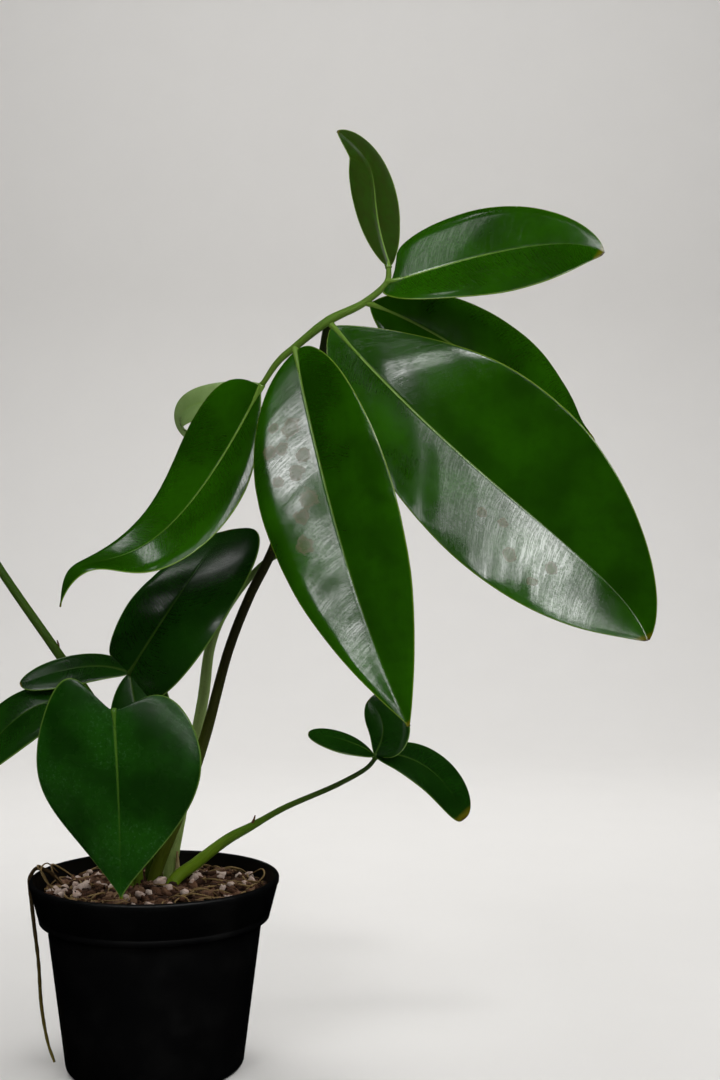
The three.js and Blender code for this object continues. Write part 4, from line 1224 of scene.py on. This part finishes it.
# %% Lights
def soft_light(name, place, aim, size, watts, lean=0, spread=70, mirrored=True):
    """A soft light at a place, turned to a point, both in millimetres, and leaned over by lean
    degrees. One that is not mirrored fills shadows without showing in the gloss."""
    lamp = bpy.data.objects.new(name, bpy.data.lights.new(name, "AREA"))
    lamp.data.shape = "RECTANGLE"
    lamp.data.size, lamp.data.size_y = size[0] * MM, size[1] * MM
    lamp.data.energy, lamp.data.spread = watts, math.radians(spread)
    lamp.visible_glossy = mirrored
    lamp.location = [number * MM for number in place]
    direction = Vector(aim) - Vector(place)
    lamp.rotation_euler = direction.to_track_quat("-Z", "Y").to_euler()
    lamp.rotation_euler.rotate_axis("Z", math.radians(lean))
    bpy.context.scene.collection.objects.link(lamp)


def around(middle, azimuth, elevation, distance):
    """A place seen from middle at azimuth (0 towards the camera, 90 to the right) and elevation."""
    a, e = math.radians(azimuth), math.radians(elevation)
    way = np.array([math.sin(a) * math.cos(e), -math.cos(a) * math.cos(e), math.sin(e)])
    return (np.array(middle) + distance * way).tolist()


LEAVES = (120, -45, 270)
STALK_MIDDLE = (10, -10, 220)
# Azimuth, elevation and distance, then the size in millimetres, the watts and the lean
KEYS = {
    "key_right": (31, 41, 1100, (560, 340), 0.5, 0),
    "key_right_core": (31, 40, 1090, (300, 230), 0.19, 0),
    "side_right": (58, 43, 1100, (300, 300), 0.1, 0),
    "key_left": (-32, 34, 1100, (580, 200), 0.36, -29),
    "key_left_core": (-26, 31, 1090, (330, 110), 0.1, -20),
    "key_front": (-5, 19, 1100, (430, 110), 0.14, -17),
    "key_low": (9, 16, 1100, (200, 100), 0.065, 0),
    "card_right": (57, 17, 1000, (250, 220), 0.11, 0),
    "high_left": (-42, 53, 1100, (460, 280), 0.1, 0),
    "top_left": (-55, 71, 1100, (130, 110), 0.02, 0),
}
FLOOR_LIGHTS = {
    "front": (100, -1600), "left": (-1700, -100), "right": (1800, -100),
    "front_left": (-1700, -1600), "front_right": (1800, -1600),
}
for name, (azimuth, elevation, distance, size, watts, lean) in KEYS.items():
    soft_light(name, around(LEAVES, azimuth, elevation, distance), LEAVES, size, watts, lean)
top_back = around(STALK_MIDDLE, -138, 57, 1100)
soft_light("top_back", top_back, STALK_MIDDLE, (240, 210), 0.07, 0, 90)
soft_light("paper_light", (100, 450, 1900), (100, 1300, 300), (2000, 900), 12, 0, 100, False)
for side, azimuth in (("left", -140), ("right", 125)):
    place = around(LEAVES, azimuth, 32, 1500)
    soft_light("fill_back_" + side, place, LEAVES, (900, 900), 2.2, 0, 90, False)
for side, (x, y) in FLOOR_LIGHTS.items():
    soft_light("floor_" + side, (x, y, 1500), (x, y + 1, 0), (1500, 1300), 6, 0, 90, False)
print(len(bpy.data.lights), "lights")

# %% [markdown]
# ## The room
# Beyond the paper the camera sees a plain pale room. It could light the plant too, but light from
# all sides would flatten the leaves, so neither their colour nor their gloss sees it.

# %% Room
room = bpy.data.worlds.new("room")
bpy.context.scene.world = room
room.use_nodes = True
sky = room.node_tree.nodes["Background"]
sky.inputs["Color"].default_value = (0.99, 0.98, 0.96, 1)
sky.inputs["Strength"].default_value = 0.62
room.cycles_visibility.diffuse = False
room.cycles_visibility.glossy = False
bpy.context.scene.view_settings.view_transform = "Standard"
print("world", room.name)
